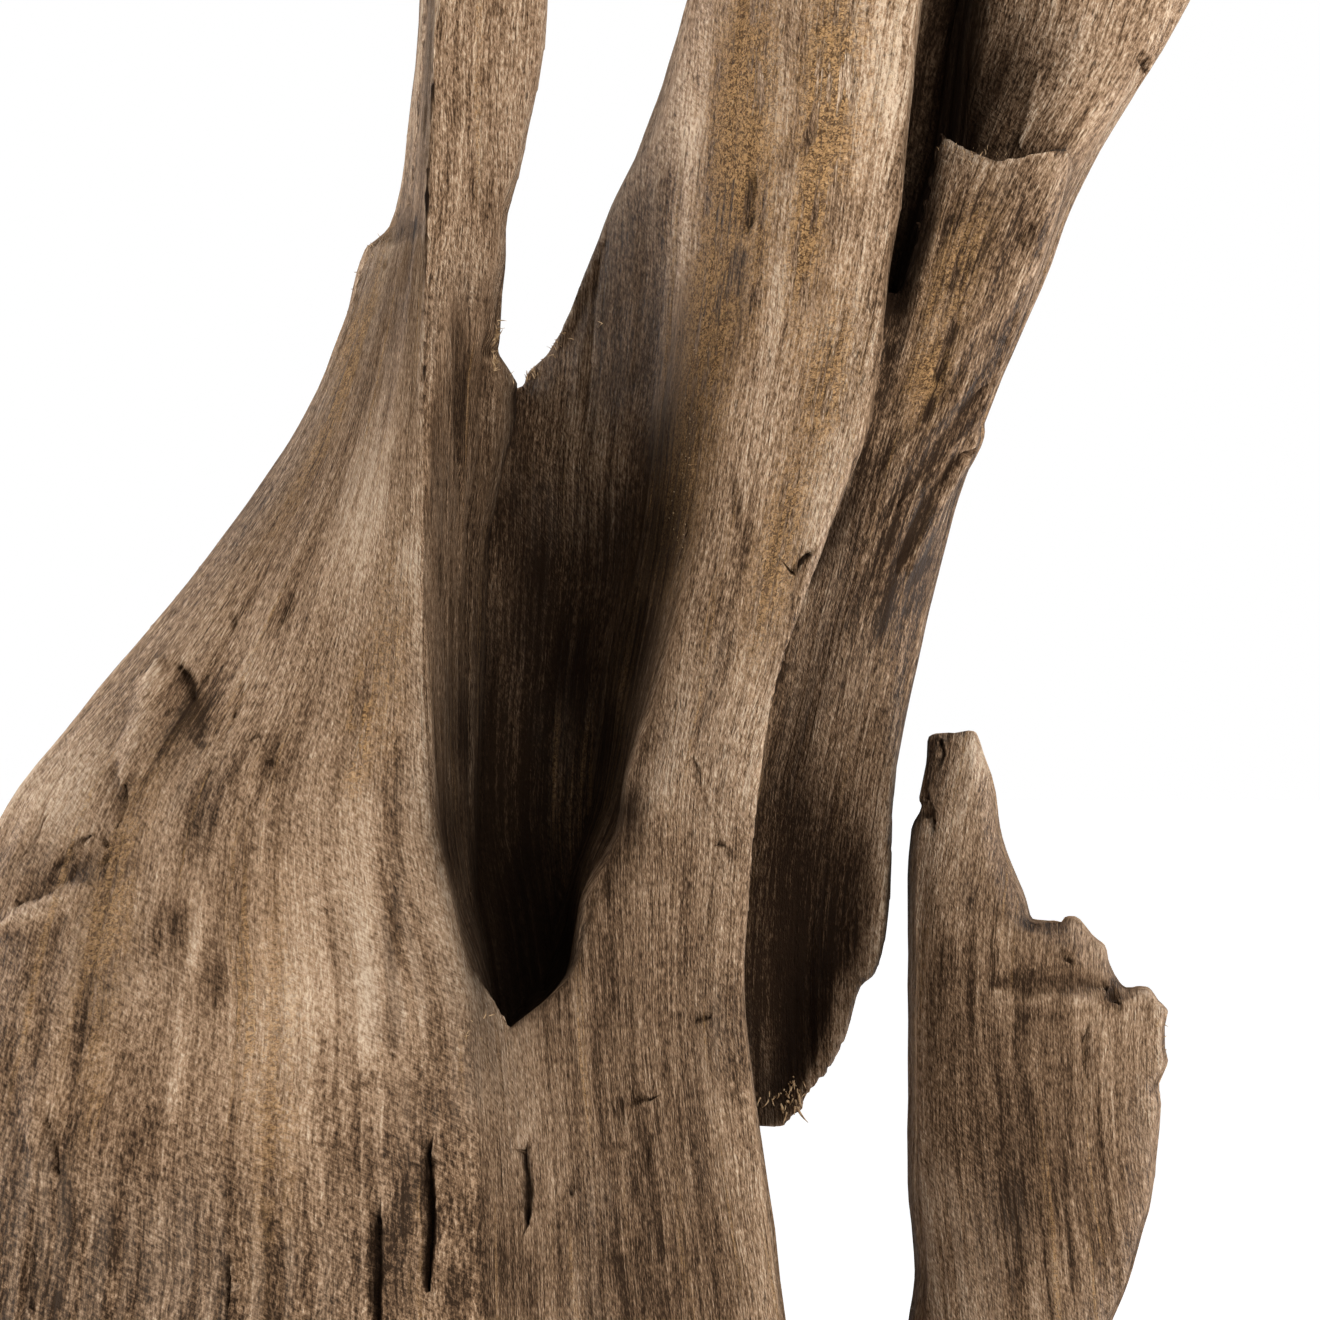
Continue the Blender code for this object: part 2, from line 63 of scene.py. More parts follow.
# The left wing: a spire at the top, a sharp front ridge, and a broad flare to the left below.
WING = {
    905: [(-51, 6), (-50, 1), (-48, -2), (-45, -3), (-42, 0), (-41, 5), (-44, 9), (-49, 9)],
    872: [(-61, 6), (-59, -5), (-54, -12), (-50, -12), (-40, -4), (-36, 6), (-44, 14), (-55, 13)],
    842: [(-66, 4), (-63, -8), (-58, -16), (-53, -16), (-40, -6), (-27, 6), (-40, 20), (-56, 16)],
    800: [(-68, 4), (-66, -8), (-61, -19), (-57, -19), (-38, -6), (-20, 10), (-36, 26), (-56, 20)],
    698: [(-74, 6), (-72, -10), (-67, -25), (-63, -25), (-44, -6), (-20, 16), (-40, 36), (-62, 26)],
    638: [(-80, 6), (-77, -10), (-70, -29), (-67, -29), (-50, -6), (-29, 22), (-46, 46), (-68, 32)],
    608: [(-87, 8), (-81, -12), (-71, -33), (-68, -33), (-54, -8), (-35, 28), (-50, 54), (-76, 38)],
    602: [(-96, 8), (-88, -14), (-71, -34), (-68, -34), (-54, -8), (-35, 28), (-50, 54), (-80, 38)],
    574: [
        (-104, 8), (-92, -16), (-72, -37), (-69, -37), (-57, -8), (-38, 34), (-56, 60), (-90, 42),
    ],
    558: [
        (-109, 8), (-95, -18), (-72, -40), (-69, -40), (-58, -8), (-39, 40), (-60, 66), (-96, 44),
    ],
    547: [
        (-113, 8), (-98, -19), (-72, -42), (-69, -42), (-59, -8), (-34, 58), (-60, 84), (-99, 45),
    ],
    532: [
        (-120, 8), (-103, -22), (-73, -45), (-69, -45), (-60, -8), (-34, 58), (-62, 88), (-105, 46),
    ],
    480: [
        (-154, 8), (-122, -33), (-75, -57), (-70, -57), (-63, -12), (-46, 56), (-76, 92),
        (-126, 52),
    ],
    418: [
        (-204, 8), (-146, -48), (-76, -74), (-69, -74), (-64, -16), (-48, 60), (-90, 98),
        (-164, 50),
    ],
    372: [
        (-240, 8), (-165, -60), (-75, -86), (-66, -86), (-64, -24), (-50, 60), (-100, 102),
        (-186, 52),
    ],
    338: [
        (-255, 8), (-176, -68), (-72, -95), (-59, -96), (-60, -34), (-50, 60), (-106, 104),
        (-200, 54),
    ],
    314: [
        (-263, 7), (-182, -74), (-70, -101), (-53, -102), (-56, -70), (-48, 50), (-110, 105),
        (-206, 56),
    ],
    302: [
        (-267, 6), (-186, -77), (-68, -105), (-44, -107), (-52, -84), (-48, 40), (-112, 106),
        (-210, 56),
    ],
    284: [
        (-272, 5), (-190, -80), (-72, -108), (-34, -111), (-44, -90), (-50, 20), (-114, 106),
        (-214, 56),
    ],
    250: [
        (-280, 4), (-198, -84), (-80, -114), (-20, -116), (0, -60), (-20, 40), (-118, 108),
        (-220, 58),
    ],
    170: [
        (-298, 0), (-215, -90), (-90, -124), (-20, -120), (10, -50), (-20, 60), (-124, 112),
        (-226, 58),
    ],
    100: [
        (-314, -6), (-232, -90), (-100, -126), (-20, -124), (10, -50), (-20, 60), (-128, 116),
        (-232, 56),
    ],
    -20: [
        (-344, -16), (-250, -88), (-118, -124), (-20, -126), (10, -50), (-20, 70), (-132, 118),
        (-246, 52),
    ],
}

# The trunk: the tall column right of the hollow. Its front ends in a sharp edge on the right,
# and its upper half is the left wall of a hollow tube.
TRUNK = {
    945: [
        (149, 6), (148, 0), (150, -4), (153, -5), (157, -3), (159, 1), (159, 5), (157, 8),
        (154, 10), (151, 9),
    ],
    918: [
        (121, 16), (120, 2), (130, -8), (141, -14), (152, -13), (159, -6), (158, 2), (148, 8),
        (137, 16), (127, 22),
    ],
    880: [
        (92, 30), (90, 10), (100, -8), (114, -19), (134, -22), (152, -12), (152, -2), (134, 6),
        (116, 20), (104, 36),
    ],
    800: [
        (66, 42), (63, 14), (76, -12), (96, -30), (122, -36), (142, -24), (142, -8), (118, 4),
        (98, 24), (84, 50),
    ],
    750: [
        (50, 48), (46, 20), (62, -12), (86, -35), (114, -42), (135, -30), (136, -8), (118, 14),
        (98, 44), (74, 66),
    ],
    698: [
        (36, 58), (31, 24), (48, -12), (74, -40), (104, -47), (127, -36), (127, -8), (118, 30),
        (104, 74), (58, 84),
    ],
    655: [
        (22, 64), (18, 32), (40, -10), (70, -44), (104, -53), (123, -42), (121, -6), (116, 44),
        (96, 94), (42, 94),
    ],
    618: [
        (8, 70), (3, 46), (28, 16), (50, -22), (76, -50), (118, -48), (116, -4), (114, 54),
        (86, 104), (30, 102),
    ],
    586: [
        (-6, 74), (-8, 52), (22, 22), (46, -26), (72, -56), (112, -54), (113, -2), (112, 60),
        (80, 110), (16, 108),
    ],
    560: [
        (-20, 80), (-18, 61), (20, 24), (43, -30), (68, -60), (110, -60), (112, 0), (114, 64),
        (74, 114), (6, 112),
    ],
    547: [
        (-33, 84), (-22, 63), (18, 26), (41, -34), (66, -62), (108, -62), (111, 0), (115, 62),
        (72, 115), (2, 114),
    ],
    532: [
        (-34, 86), (-24, 64), (16, 26), (40, -38), (64, -66), (106, -64), (110, 0), (116, 60),
        (70, 116), (-2, 116),
    ],
    498: [
        (-36, 86), (-18, 64), (15, 24), (36, -44), (60, -74), (94, -74), (92, -14), (108, 56),
        (64, 120), (-8, 118),
    ],
    458: [
        (-36, 84), (-10, 62), (13, 14), (30, -54), (54, -82), (80, -86), (72, -46), (96, 50),
        (60, 122), (-12, 118),
    ],
    418: [
        (-36, 80), (-7, 56), (9, 0), (20, -62), (42, -90), (68, -95), (58, -62), (84, 46),
        (56, 122), (-14, 116),
    ],
    378: [
        (-36, 74), (-7, 44), (4, -16), (10, -72), (30, -98), (62, -101), (50, -68), (70, 42),
        (50, 120), (-16, 114),
    ],
    338: [
        (-38, 64), (-12, 20), (-8, -78), (14, -105), (42, -112), (58, -105), (46, -70), (58, 40),
        (44, 118), (-22, 112),
    ],
    314: [
        (-40, 54), (-14, 0), (-12, -92), (10, -111), (40, -116), (56, -108), (46, -70), (56, 38),
        (40, 116), (-26, 110),
    ],
    300: [
        (-42, 44), (-16, -20), (-21, -102), (6, -114), (38, -118), (56, -109), (46, -70), (55, 38),
        (38, 114), (-30, 108),
    ],
    284: [
        (-46, 30), (-24, -60), (-38, -110), (0, -118), (36, -121), (57, -111), (50, -66), (55, 36),
        (38, 114), (-34, 108),
    ],
    250: [
        (-60, 20), (-70, -40), (-60, -112), (-6, -123), (34, -125), (61, -113), (56, -60), (56, 32),
        (38, 114), (-44, 108),
    ],
    210: [
        (-70, 20), (-80, -40), (-64, -114), (-8, -125), (36, -127), (66, -113), (62, -58), (62, 32),
        (40, 114), (-54, 108),
    ],
    170: [
        (-70, 20), (-80, -40), (-64, -116), (-8, -127), (40, -127), (70, -112), (69, -55), (69, 34),
        (42, 114), (-60, 108),
    ],
    100: [
        (-70, 20), (-80, -40), (-64, -118), (-4, -126), (46, -124), (78, -102), (80, -50), (80, 40),
        (46, 114), (-66, 106),
    ],
    -20: [
        (-70, 20), (-80, -40), (-64, -118), (4, -122), (56, -112), (92, -92), (100, -40), (98, 44),
        (52, 112), (-70, 104),
    ],
}

# The back wall of the hollow, which joins the wing to the trunk up to the notch.
WEB = {
    543: [(-46, 70), (-32, 72), (-18, 74), (-16, 92), (-34, 98), (-50, 90)],
    530: [(-54, 60), (-32, 66), (-12, 70), (-10, 94), (-34, 106), (-60, 92)],
    498: [(-62, 56), (-32, 66), (-4, 70), (0, 102), (-34, 112), (-72, 92)],
    418: [(-66, 52), (-34, 68), (0, 72), (8, 106), (-34, 116), (-86, 98)],
    338: [(-68, 44), (-36, 58), (0, 60), (10, 106), (-34, 116), (-100, 100)],
    290: [(-70, 10), (-36, 22), (0, 10), (10, 104), (-34, 114), (-104, 102)],
    266: [(-74, -70), (-36, -74), (0, -76), (10, 100), (-34, 112), (-104, 102)],
    -20: [(-90, -80), (-36, -90), (0, -90), (10, 104), (-34, 108), (-110, 104)],
}

# The right column. It tapers down to a thin flap that curls behind the trunk's front edge.
FLAP = {
    886: [(268, 25), (271, 20), (275, 18), (279, 21), (280, 25), (276, 28), (271, 28)],
    852: [(240, 24), (248, 8), (262, 1), (283, 13), (282, 28), (264, 30), (250, 34)],
    800: [(192, 26), (204, 2), (232, -10), (273, 8), (272, 28), (238, 34), (206, 42)],
    750: [(166, 42), (180, 8), (214, -14), (256, 8), (254, 36), (214, 56), (180, 66)],
    698: [(146, 58), (158, 18), (196, -14), (236, 8), (230, 44), (190, 74), (150, 88)],
    642: [(138, 56), (152, 12), (184, -18), (204, 6), (200, 48), (160, 88), (124, 96)],
    618: [(132, 54), (144, 6), (172, -20), (192, 6), (188, 46), (150, 92), (116, 96)],
    586: [(124, 48), (134, -4), (160, -22), (180, 6), (176, 44), (140, 90), (108, 96)],
    550: [(102, 20), (116, -34), (146, -28), (164, 6), (160, 42), (130, 88), (98, 96)],
    498: [(84, -4), (100, -38), (128, -30), (144, 8), (142, 42), (116, 84), (90, 90)],
    454: [(72, -16), (92, -26), (116, -18), (132, 10), (130, 32), (104, 66), (78, 70)],
    410: [(58, 0), (84, -6), (107, -2), (122, 11), (119, 27), (92, 50), (58, 56)],
    378: [(50, 18), (80, 16), (101, 8), (116, 6), (114, 20), (86, 44), (52, 48)],
    346: [(46, 28), (78, 29), (97, 18), (112, 2), (114, 10), (87, 44), (48, 46)],
    308: [(46, 32), (76, 36), (93, 24), (106, 4), (108, 12), (83, 49), (48, 48)],
    303: [(46, 32), (74, 37), (89, 26), (100, 10), (102, 18), (81, 50), (48, 48)],
    282: [(46, 34), (71, 39), (84, 30), (94, 16), (96, 23), (77, 51), (48, 50)],
    262: [(46, 36), (66, 41), (76, 35), (84, 26), (86, 31), (72, 51), (48, 50)],
    252: [(50, 38), (63, 42), (70, 39), (77, 34), (78, 38), (68, 50), (52, 50)],
    243: [(60, 41), (66, 42), (70, 41), (75, 40), (76, 42), (69, 47), (62, 47)],
}

# The back of the hollow tube between the trunk and the right column.
TUBE_BACK = {
    842: [(146, 72), (152, 68), (159, 69), (164, 73), (158, 79), (150, 78)],
    815: [(112, 58), (136, 64), (162, 62), (176, 62), (162, 82), (130, 80)],
    780: [(84, 50), (122, 62), (164, 60), (196, 48), (170, 86), (118, 86)],
    698: [(66, 62), (104, 70), (152, 66), (190, 60), (160, 100), (100, 102)],
    600: [(50, 80), (90, 80), (130, 70), (160, 70), (136, 108), (84, 116)],
    540: [(50, 84), (86, 84), (112, 70), (136, 74), (114, 104), (78, 116)],
}

# The broken layer on the right column. Its upper lip sags and stands free, with a pocket behind
# it. A third number raises or lowers a point.
LAYER = {
    643: [
        (135, -18, 6), (140, -30, 1), (156, -38, -8), (184, -31, -1), (189, -20, -1),
        (160, -32, -7), (141, -25, 2),
    ],
    628: [
        (131, -20, 0), (138, -32, 0), (157, -40, 0), (184, -31, 0), (188, -14, 0), (159, -34, 0),
        (139, -26, 0),
    ],
    600: [
        (124, -22, 0), (133, -38, 0), (152, -42, 0), (178, -28, 0), (180, -6, 0), (152, -32, 0),
        (134, -28, 0),
    ],
    570: [
        (115, -28, 0), (125, -44, 0), (146, -42, 0), (168, -24, 0), (170, 0, 0), (144, -16, 0),
        (124, -10, 0),
    ],
    540: [
        (102, -20, 0), (114, -44, 0), (138, -38, 0), (158, -18, 0), (156, 0, 0), (134, 0, 0),
        (114, 0, 0),
    ],
    500: [
        (90, -10, 0), (104, -36, 0), (128, -30, 0), (142, -10, 0), (138, 4, 0), (120, 4, 0),
        (100, 4, 0),
    ],
}

# The broken root on the right, which rises free of the trunk from the foot.
SPIKE = {
    405: [(138, 6), (141, 0), (146, -1), (150, 4), (148, 11), (142, 12)],
    402: [(134, 5), (138, -6), (147, -7), (153, 4), (149, 16), (138, 16)],
    382: [(130, 3), (137, -15), (152, -14), (160, 4), (152, 22), (136, 22)],
    366: [(126, 2), (136, -20), (154, -18), (162, 4), (153, 26), (134, 26)],
    345: [(125, 2), (136, -24), (158, -22), (168, 4), (157, 30), (134, 30)],
    333: [(125, 2), (137, -26), (162, -24), (175, 4), (162, 32), (135, 32)],
    328: [(125, 2), (138, -27), (170, -26), (191, 2), (172, 33), (136, 34)],
    318: [(125, 2), (140, -28), (178, -28), (203, 2), (180, 34), (138, 35)],
    306: [(125, 2), (141, -29), (182, -28), (209, 2), (184, 35), (140, 36)],
    298: [(125, 2), (142, -30), (190, -28), (225, 0), (192, 36), (142, 38)],
    286: [(125, 2), (142, -30), (192, -29), (229, 0), (194, 37), (142, 38)],
    226: [(125, 2), (142, -32), (190, -30), (226, 2), (192, 40), (142, 42)],
    186: [(128, 2), (144, -33), (184, -32), (216, 4), (188, 42), (144, 44)],
    160: [(124, 2), (142, -34), (178, -34), (205, 5), (182, 44), (142, 46)],
    120: [(112, 4), (138, -40), (176, -38), (196, 6), (178, 50), (136, 52)],
    -20: [(90, 4), (134, -62), (190, -52), (222, 6), (192, 56), (128, 70)],
}

# The low root that joins the spike to the trunk.
SADDLE = {
    118: [(66, 4), (98, -14), (134, -20), (150, 6), (134, 30), (98, 26)],
    98: [(50, 4), (98, -36), (140, -44), (170, 6), (140, 50), (98, 50)],
    -20: [(40, 4), (100, -80), (160, -64), (206, 6), (160, 64), (100, 84)],
}

# Roots that swell out of the foot: where each one leaves the wood, where it meets the ground,
# how wide it is there, and how high it starts.
ROOTS = [
    ((-196, -30), (-250, -104), 62, 330),
    ((-118, -66), (-142, -120), 52, 250),
    ((-34, -70), (-48, -128), 66, 240),
    ((34, -66), (70, -110), 50, 190),
    ((150, 2), (198, -28), 44, 150),
    ((96, 14), (116, 74), 46, 120),
    ((16, 58), (24, 118), 60, 420),
    ((-84, 62), (-96, 112), 50, 330),
    ((-182, 14), (-222, 62), 56, 400),
    ((-262, 0), (-316, -14), 40, 240),
]

# Where the grain runs: x of the wing's left edge, of its front ridge, of the trunk's crest and of
# the trunk's right edge.
GRAIN_REST = [-180, -71, 66, 131]
GRAIN = {
    945: [-82, -46, 152, 300],
    698: [-74, -66, 104, 236],
    618: [-88, -69, 96, 192],
    532: [-120, -71, 84, 160],
    448: [-180, -71, 66, 131],
    372: [-240, -68, 50, 116],
    298: [-268, -52, 46, 108],
    170: [-298, -45, 60, 118],
    0: [-345, -50, 100, 150],
}


def monotone(levels, rows, at):
    """Rows given at rising levels, read at other levels on a curve that never overshoots."""
    levels, rows, at = np.asarray(levels, float), np.asarray(rows, float), np.asarray(at, float)
    width = np.diff(levels)[:, None]
    slope = np.diff(rows, axis=0) / width
    tangent = np.empty_like(rows)
    tangent[0], tangent[-1] = slope[0], slope[-1]
    before, after = slope[:-1], slope[1:]
    lean_a, lean_b = 2 * width[1:] + width[:-1], width[1:] + 2 * width[:-1]
    same_way = before * after > 0
    safe_a, safe_b = np.where(same_way, before, 1), np.where(same_way, after, 1)
    mean = (lean_a + lean_b) / (lean_a / safe_a + lean_b / safe_b)
    tangent[1:-1] = np.where(same_way, mean, 0)
    i = np.clip(np.searchsorted(levels, at) - 1, 0, len(levels) - 2)
    h = width[i]
    t = ((at - levels[i])[:, None]) / h
    return (
        rows[i] * (1 + 2 * t) * (1 - t) ** 2
        + tangent[i] * h * t * (1 - t) ** 2
        + rows[i + 1] * t * t * (3 - 2 * t)
        + tangent[i + 1] * h * t * t * (t - 1)
    )


def rounded(outline):
    """A closed outline with a smooth arc through its points."""
    before, after, beyond = (np.roll(outline, n, axis=0) for n in (1, -1, -2))
    arc = []
    for t in np.arange(ARC_STEPS) / ARC_STEPS:
        arc.append(
            0.5 * (2 * outline + (after - before) * t
                   + (2 * before - 5 * outline + 4 * after - beyond) * t**2
                   + (3 * outline - before - 3 * after + beyond) * t**3)
        )
    return np.stack(arc, axis=1).reshape(-1, outline.shape[1])


def add_tube(bm, rings):
    """A closed tube through rings of points in millimetres, from the lowest to the highest."""
    loops = []
    for ring in rings:
        verts = [bm.verts.new(Vector(point) * MM) for point in ring]
        loops.append([bm.edges.new((verts[i - 1], verts[i])) for i in range(len(verts))])
    for lower, upper in zip(loops, loops[1:]):
        bmesh.ops.bridge_loops(bm, edges=lower + upper)
    for end in (loops[0], loops[-1]):
        bmesh.ops.contextual_create(bm, geom=end)


def add_limb(bm, table):
    """Lofts one limb into bm from its table of outlines."""
    levels = sorted(table)
    rows = [[(*point, 0)[:3] for point in table[z]] for z in levels]
    rows = [[(x, y, z + lift) for x, y, lift in row] for z, row in zip(levels, rows)]
    count = max(2, round((levels[-1] - levels[0]) / RING_STEP))
    heights = np.union1d(np.linspace(levels[0], levels[-1], count), levels)
    flat = np.array(rows, float).reshape(len(levels), -1)
    outlines = monotone(levels, flat, heights).reshape(len(heights), -1, 3)
    add_tube(bm, [rounded(outline) for outline in outlines])


def add_root(bm, start, foot, width, top):
    """One root: a slim oval where it leaves the wood, spreading as it runs down to the ground."""
    start, foot = Vector(start), Vector(foot)
    out = (foot - start).normalized()
    side = Vector((-out.y, out.x))
    turns = [2 * math.pi * k / ROOT_SIDES for k in range(ROOT_SIDES)]
    rings = []
    for share in map(float, np.linspace(ROOT_DEPTH_SHARE, 1, ROOT_RINGS)):
        centre = start.lerp(foot, (1 - share) ** 2)
        radius = width * (0.35 + 0.65 * (1 - share))
        ring = [centre + radius * (math.cos(a) * out + 0.9 * math.sin(a) * side) for a in turns]
        rings.append([(x, y, top * share) for x, y in ring])
    add_tube(bm, rings)


def grain_of(points):
    """Points in millimetres, unrolled so that the grain runs straight up."""
    levels = sorted(GRAIN)
    at = np.clip(points[:, 2], levels[0], levels[-1])
    across = monotone(levels, [GRAIN[z] for z in levels], at)
    unrolled = points.copy()
    left = points[:, 0] - across[:, 0] + GRAIN_REST[0]
    right = points[:, 0] - across[:, -1] + GRAIN_REST[-1]
    unrolled[:, 0] = np.where(points[:, 0] < across[:, 0], left, right)
    for k in range(len(GRAIN_REST) - 1):
        here = (points[:, 0] >= across[:, k]) & (points[:, 0] < across[:, k + 1])
        share = (points[:, 0] - across[:, k]) / (across[:, k + 1] - across[:, k])
        on = GRAIN_REST[k] + share * (GRAIN_REST[k + 1] - GRAIN_REST[k])
        unrolled[here, 0] = on[here]
    return unrolled


def evaluated(obj):
    """A new mesh of the object with its modifiers applied."""
    graph = bpy.context.evaluated_depsgraph_get()
    return bpy.data.meshes.new_from_object(obj.evaluated_get(graph))


def replace_mesh(obj, mesh):
    old = obj.data
    obj.modifiers.clear()
    obj.data = mesh
    bpy.data.meshes.remove(old)


def keep_largest_island(bm):
    """Deletes specks that aren't joined to the main body."""
    left, islands = set(bm.verts), []
    while left:
        island, front = set(), [next(iter(left))]
        while front:
            vert = front.pop()
            if vert in island:
                continue
            island.add(vert)
            front.extend(e.other_vert(vert) for e in vert.link_edges)
        islands.append(island)
        left -= island
    islands.sort(key=len)
    specks = [v for island in islands[:-1] for v in island]
    bmesh.ops.delete(bm, geom=specks, context="VERTS")


def read_points(mesh):
    """The mesh's points in millimetres and its normals, as two arrays."""
    points = np.empty(len(mesh.vertices) * 3)
    normals = np.empty(len(mesh.vertices) * 3)
    mesh.vertices.foreach_get("co", points)
    mesh.vertices.foreach_get("normal", normals)
    return points.reshape(-1, 3) / MM, normals.reshape(-1, 3)


def write_points(mesh, points):
    mesh.vertices.foreach_set("co", (points * MM).ravel())
    mesh.update()


def neighbour_mean(mesh, values, rounds):
    """Values spread over the surface by averaging each point with its neighbours."""
    edges = np.empty(len(mesh.edges) * 2, int)
    mesh.edges.foreach_get("vertices", edges)
    a, b = edges.reshape(-1, 2).T
    count = len(mesh.vertices)
    share = np.bincount(a, minlength=count) + np.bincount(b, minlength=count)
    values = values.reshape(count, -1)
    for _ in range(rounds):
        total = [
            np.bincount(a, v[b], minlength=count) + np.bincount(b, v[a], minlength=count)
            for v in values.T
        ]
        values = 0.5 * values + 0.5 * np.array(total).T / share[:, None]
    return values


FLANK_START, FLANK_FULL = 0.68, 0.74  # how far sideways the wood faces where its flank begins


def noise_at(points, size):
    """Smooth noise from -1 to 1, for cells of the given size in millimetres along x, y and z."""
    return np.array([noise.noise(Vector(p)) for p in points / np.array(size, float)])


def flank_share(mesh, rounds):
    """0 where the wood faces forwards or back, 1 on its flanks, with the relief smoothed away."""
    _, normals = read_points(mesh)
    broad = np.abs(neighbour_mean(mesh, normals, rounds))
    share = broad[:, 0] / (broad[:, 0] + broad[:, 1] + 1e-6)
    return np.clip((share - FLANK_START) / (FLANK_FULL - FLANK_START), 0, 1)


def ridges(grain, flank, across, along_it, shift):
    """Noise drawn out along the grain: over x where the wood faces forwards, over y on a flank."""
    level = np.full(len(grain), float(shift))
    front = noise_at(np.column_stack((grain[:, 0], level, grain[:, 2])), (across, 1.7, along_it))
    side = noise_at(np.column_stack((level, grain[:, 1], grain[:, 2])), (1.7, across, along_it))
    return front + (side - front) * flank


FLUTE_ROUNDS = 30  # how far the flanks are smoothed out under the flutes
GRAIN_WANDER, GRAIN_WANDER_SIZE = 2.0, (70, 70, 260)
# Height, then size across and along the grain, and a shift that keeps one set from the next.
RIDGES = [(1.7, 21, 220, 300), (0.7, 8, 160, 600)]
LUMPS = (0.5, 8, 20, 2100)
# Depth, how far the noise may be from its middle in a line, then as above. Grooves lie in some
# patches of the wood and the finer checks in the others.
GROOVES, CHECKS = (1.5, 0.13, 14, 900, 1200), (0.7, 0.12, 9, 500, 1500)
PATCH_SIZE = (60, 60, 120)


def carve_weather(mesh):
    """The long flutes, then the ridges, grooves and checks that the weather cut along the grain."""
    points, normals = read_points(mesh)
    flank = flank_share(mesh, FLUTE_ROUNDS)
    grain = grain_of(points)
    move = np.interp(points[:, 1], [BACK_START, BACK_FULL], [FLUTE_DEPTH, BACK_FLUTE_DEPTH])
    move *= noise_at(grain, (FLUTE_WIDTH, FLUTE_WIDTH, FLUTE_LENGTH))
    grain[:, 0] += GRAIN_WANDER * noise_at(points, GRAIN_WANDER_SIZE)
    for height, *sizes in RIDGES:
        move += height * ridges(grain, flank, *sizes)
    patches = np.clip(0.5 + 1.4 * noise_at(points + 900, PATCH_SIZE), 0, 1)
    for (depth, half, *sizes), share in ((GROOVES, patches), (CHECKS, 1 - patches)):
        line = np.clip(1 - np.abs(ridges(grain, flank, *sizes)) / half, 0, 1)
        move -= depth * line * share
    height, *sizes = LUMPS
    move += height * ridges(grain, flank, *sizes)
    write_points(mesh, points + normals * move[:, None])


# Each end of the wood out of the ground is torn: where it is, how far down the tear reaches.
TORN_TIPS = [(-47, 905, 60), (154, 945, 90), (271, 886, 70), (154, 842, 40)]


def tear_tips(mesh):
    """Tears the tips into splinters that stand along the grain."""
    points, _ = read_points(mesh)
    teeth = 0.5 + 0.5 * noise_at(points + 40, (5, 5, 400))
    teeth += 0.3 * noise_at(points + 80, (2.5, 2.5, 200))
    for x, top, reach in TORN_TIPS:
        near = np.clip(1 - np.hypot(points[:, 0] - x, (points[:, 2] - top) * 0.7) / reach, 0, 1)
        points[:, 2] -= near * np.clip(teeth, 0, 1) * reach * 0.45
    write_points(mesh, points)


def along(points, start, end):
    """Distance of each point from a line in the x and z plane, and where along it the point is."""
    start, end = np.array(start, float), np.array(end, float)
    run = end - start
    flat = points[:, [0, 2]] - start
    share = np.clip(flat @ run / (run @ run), 0, 1)
    return np.linalg.norm(flat - share[:, None] * run, axis=1), share


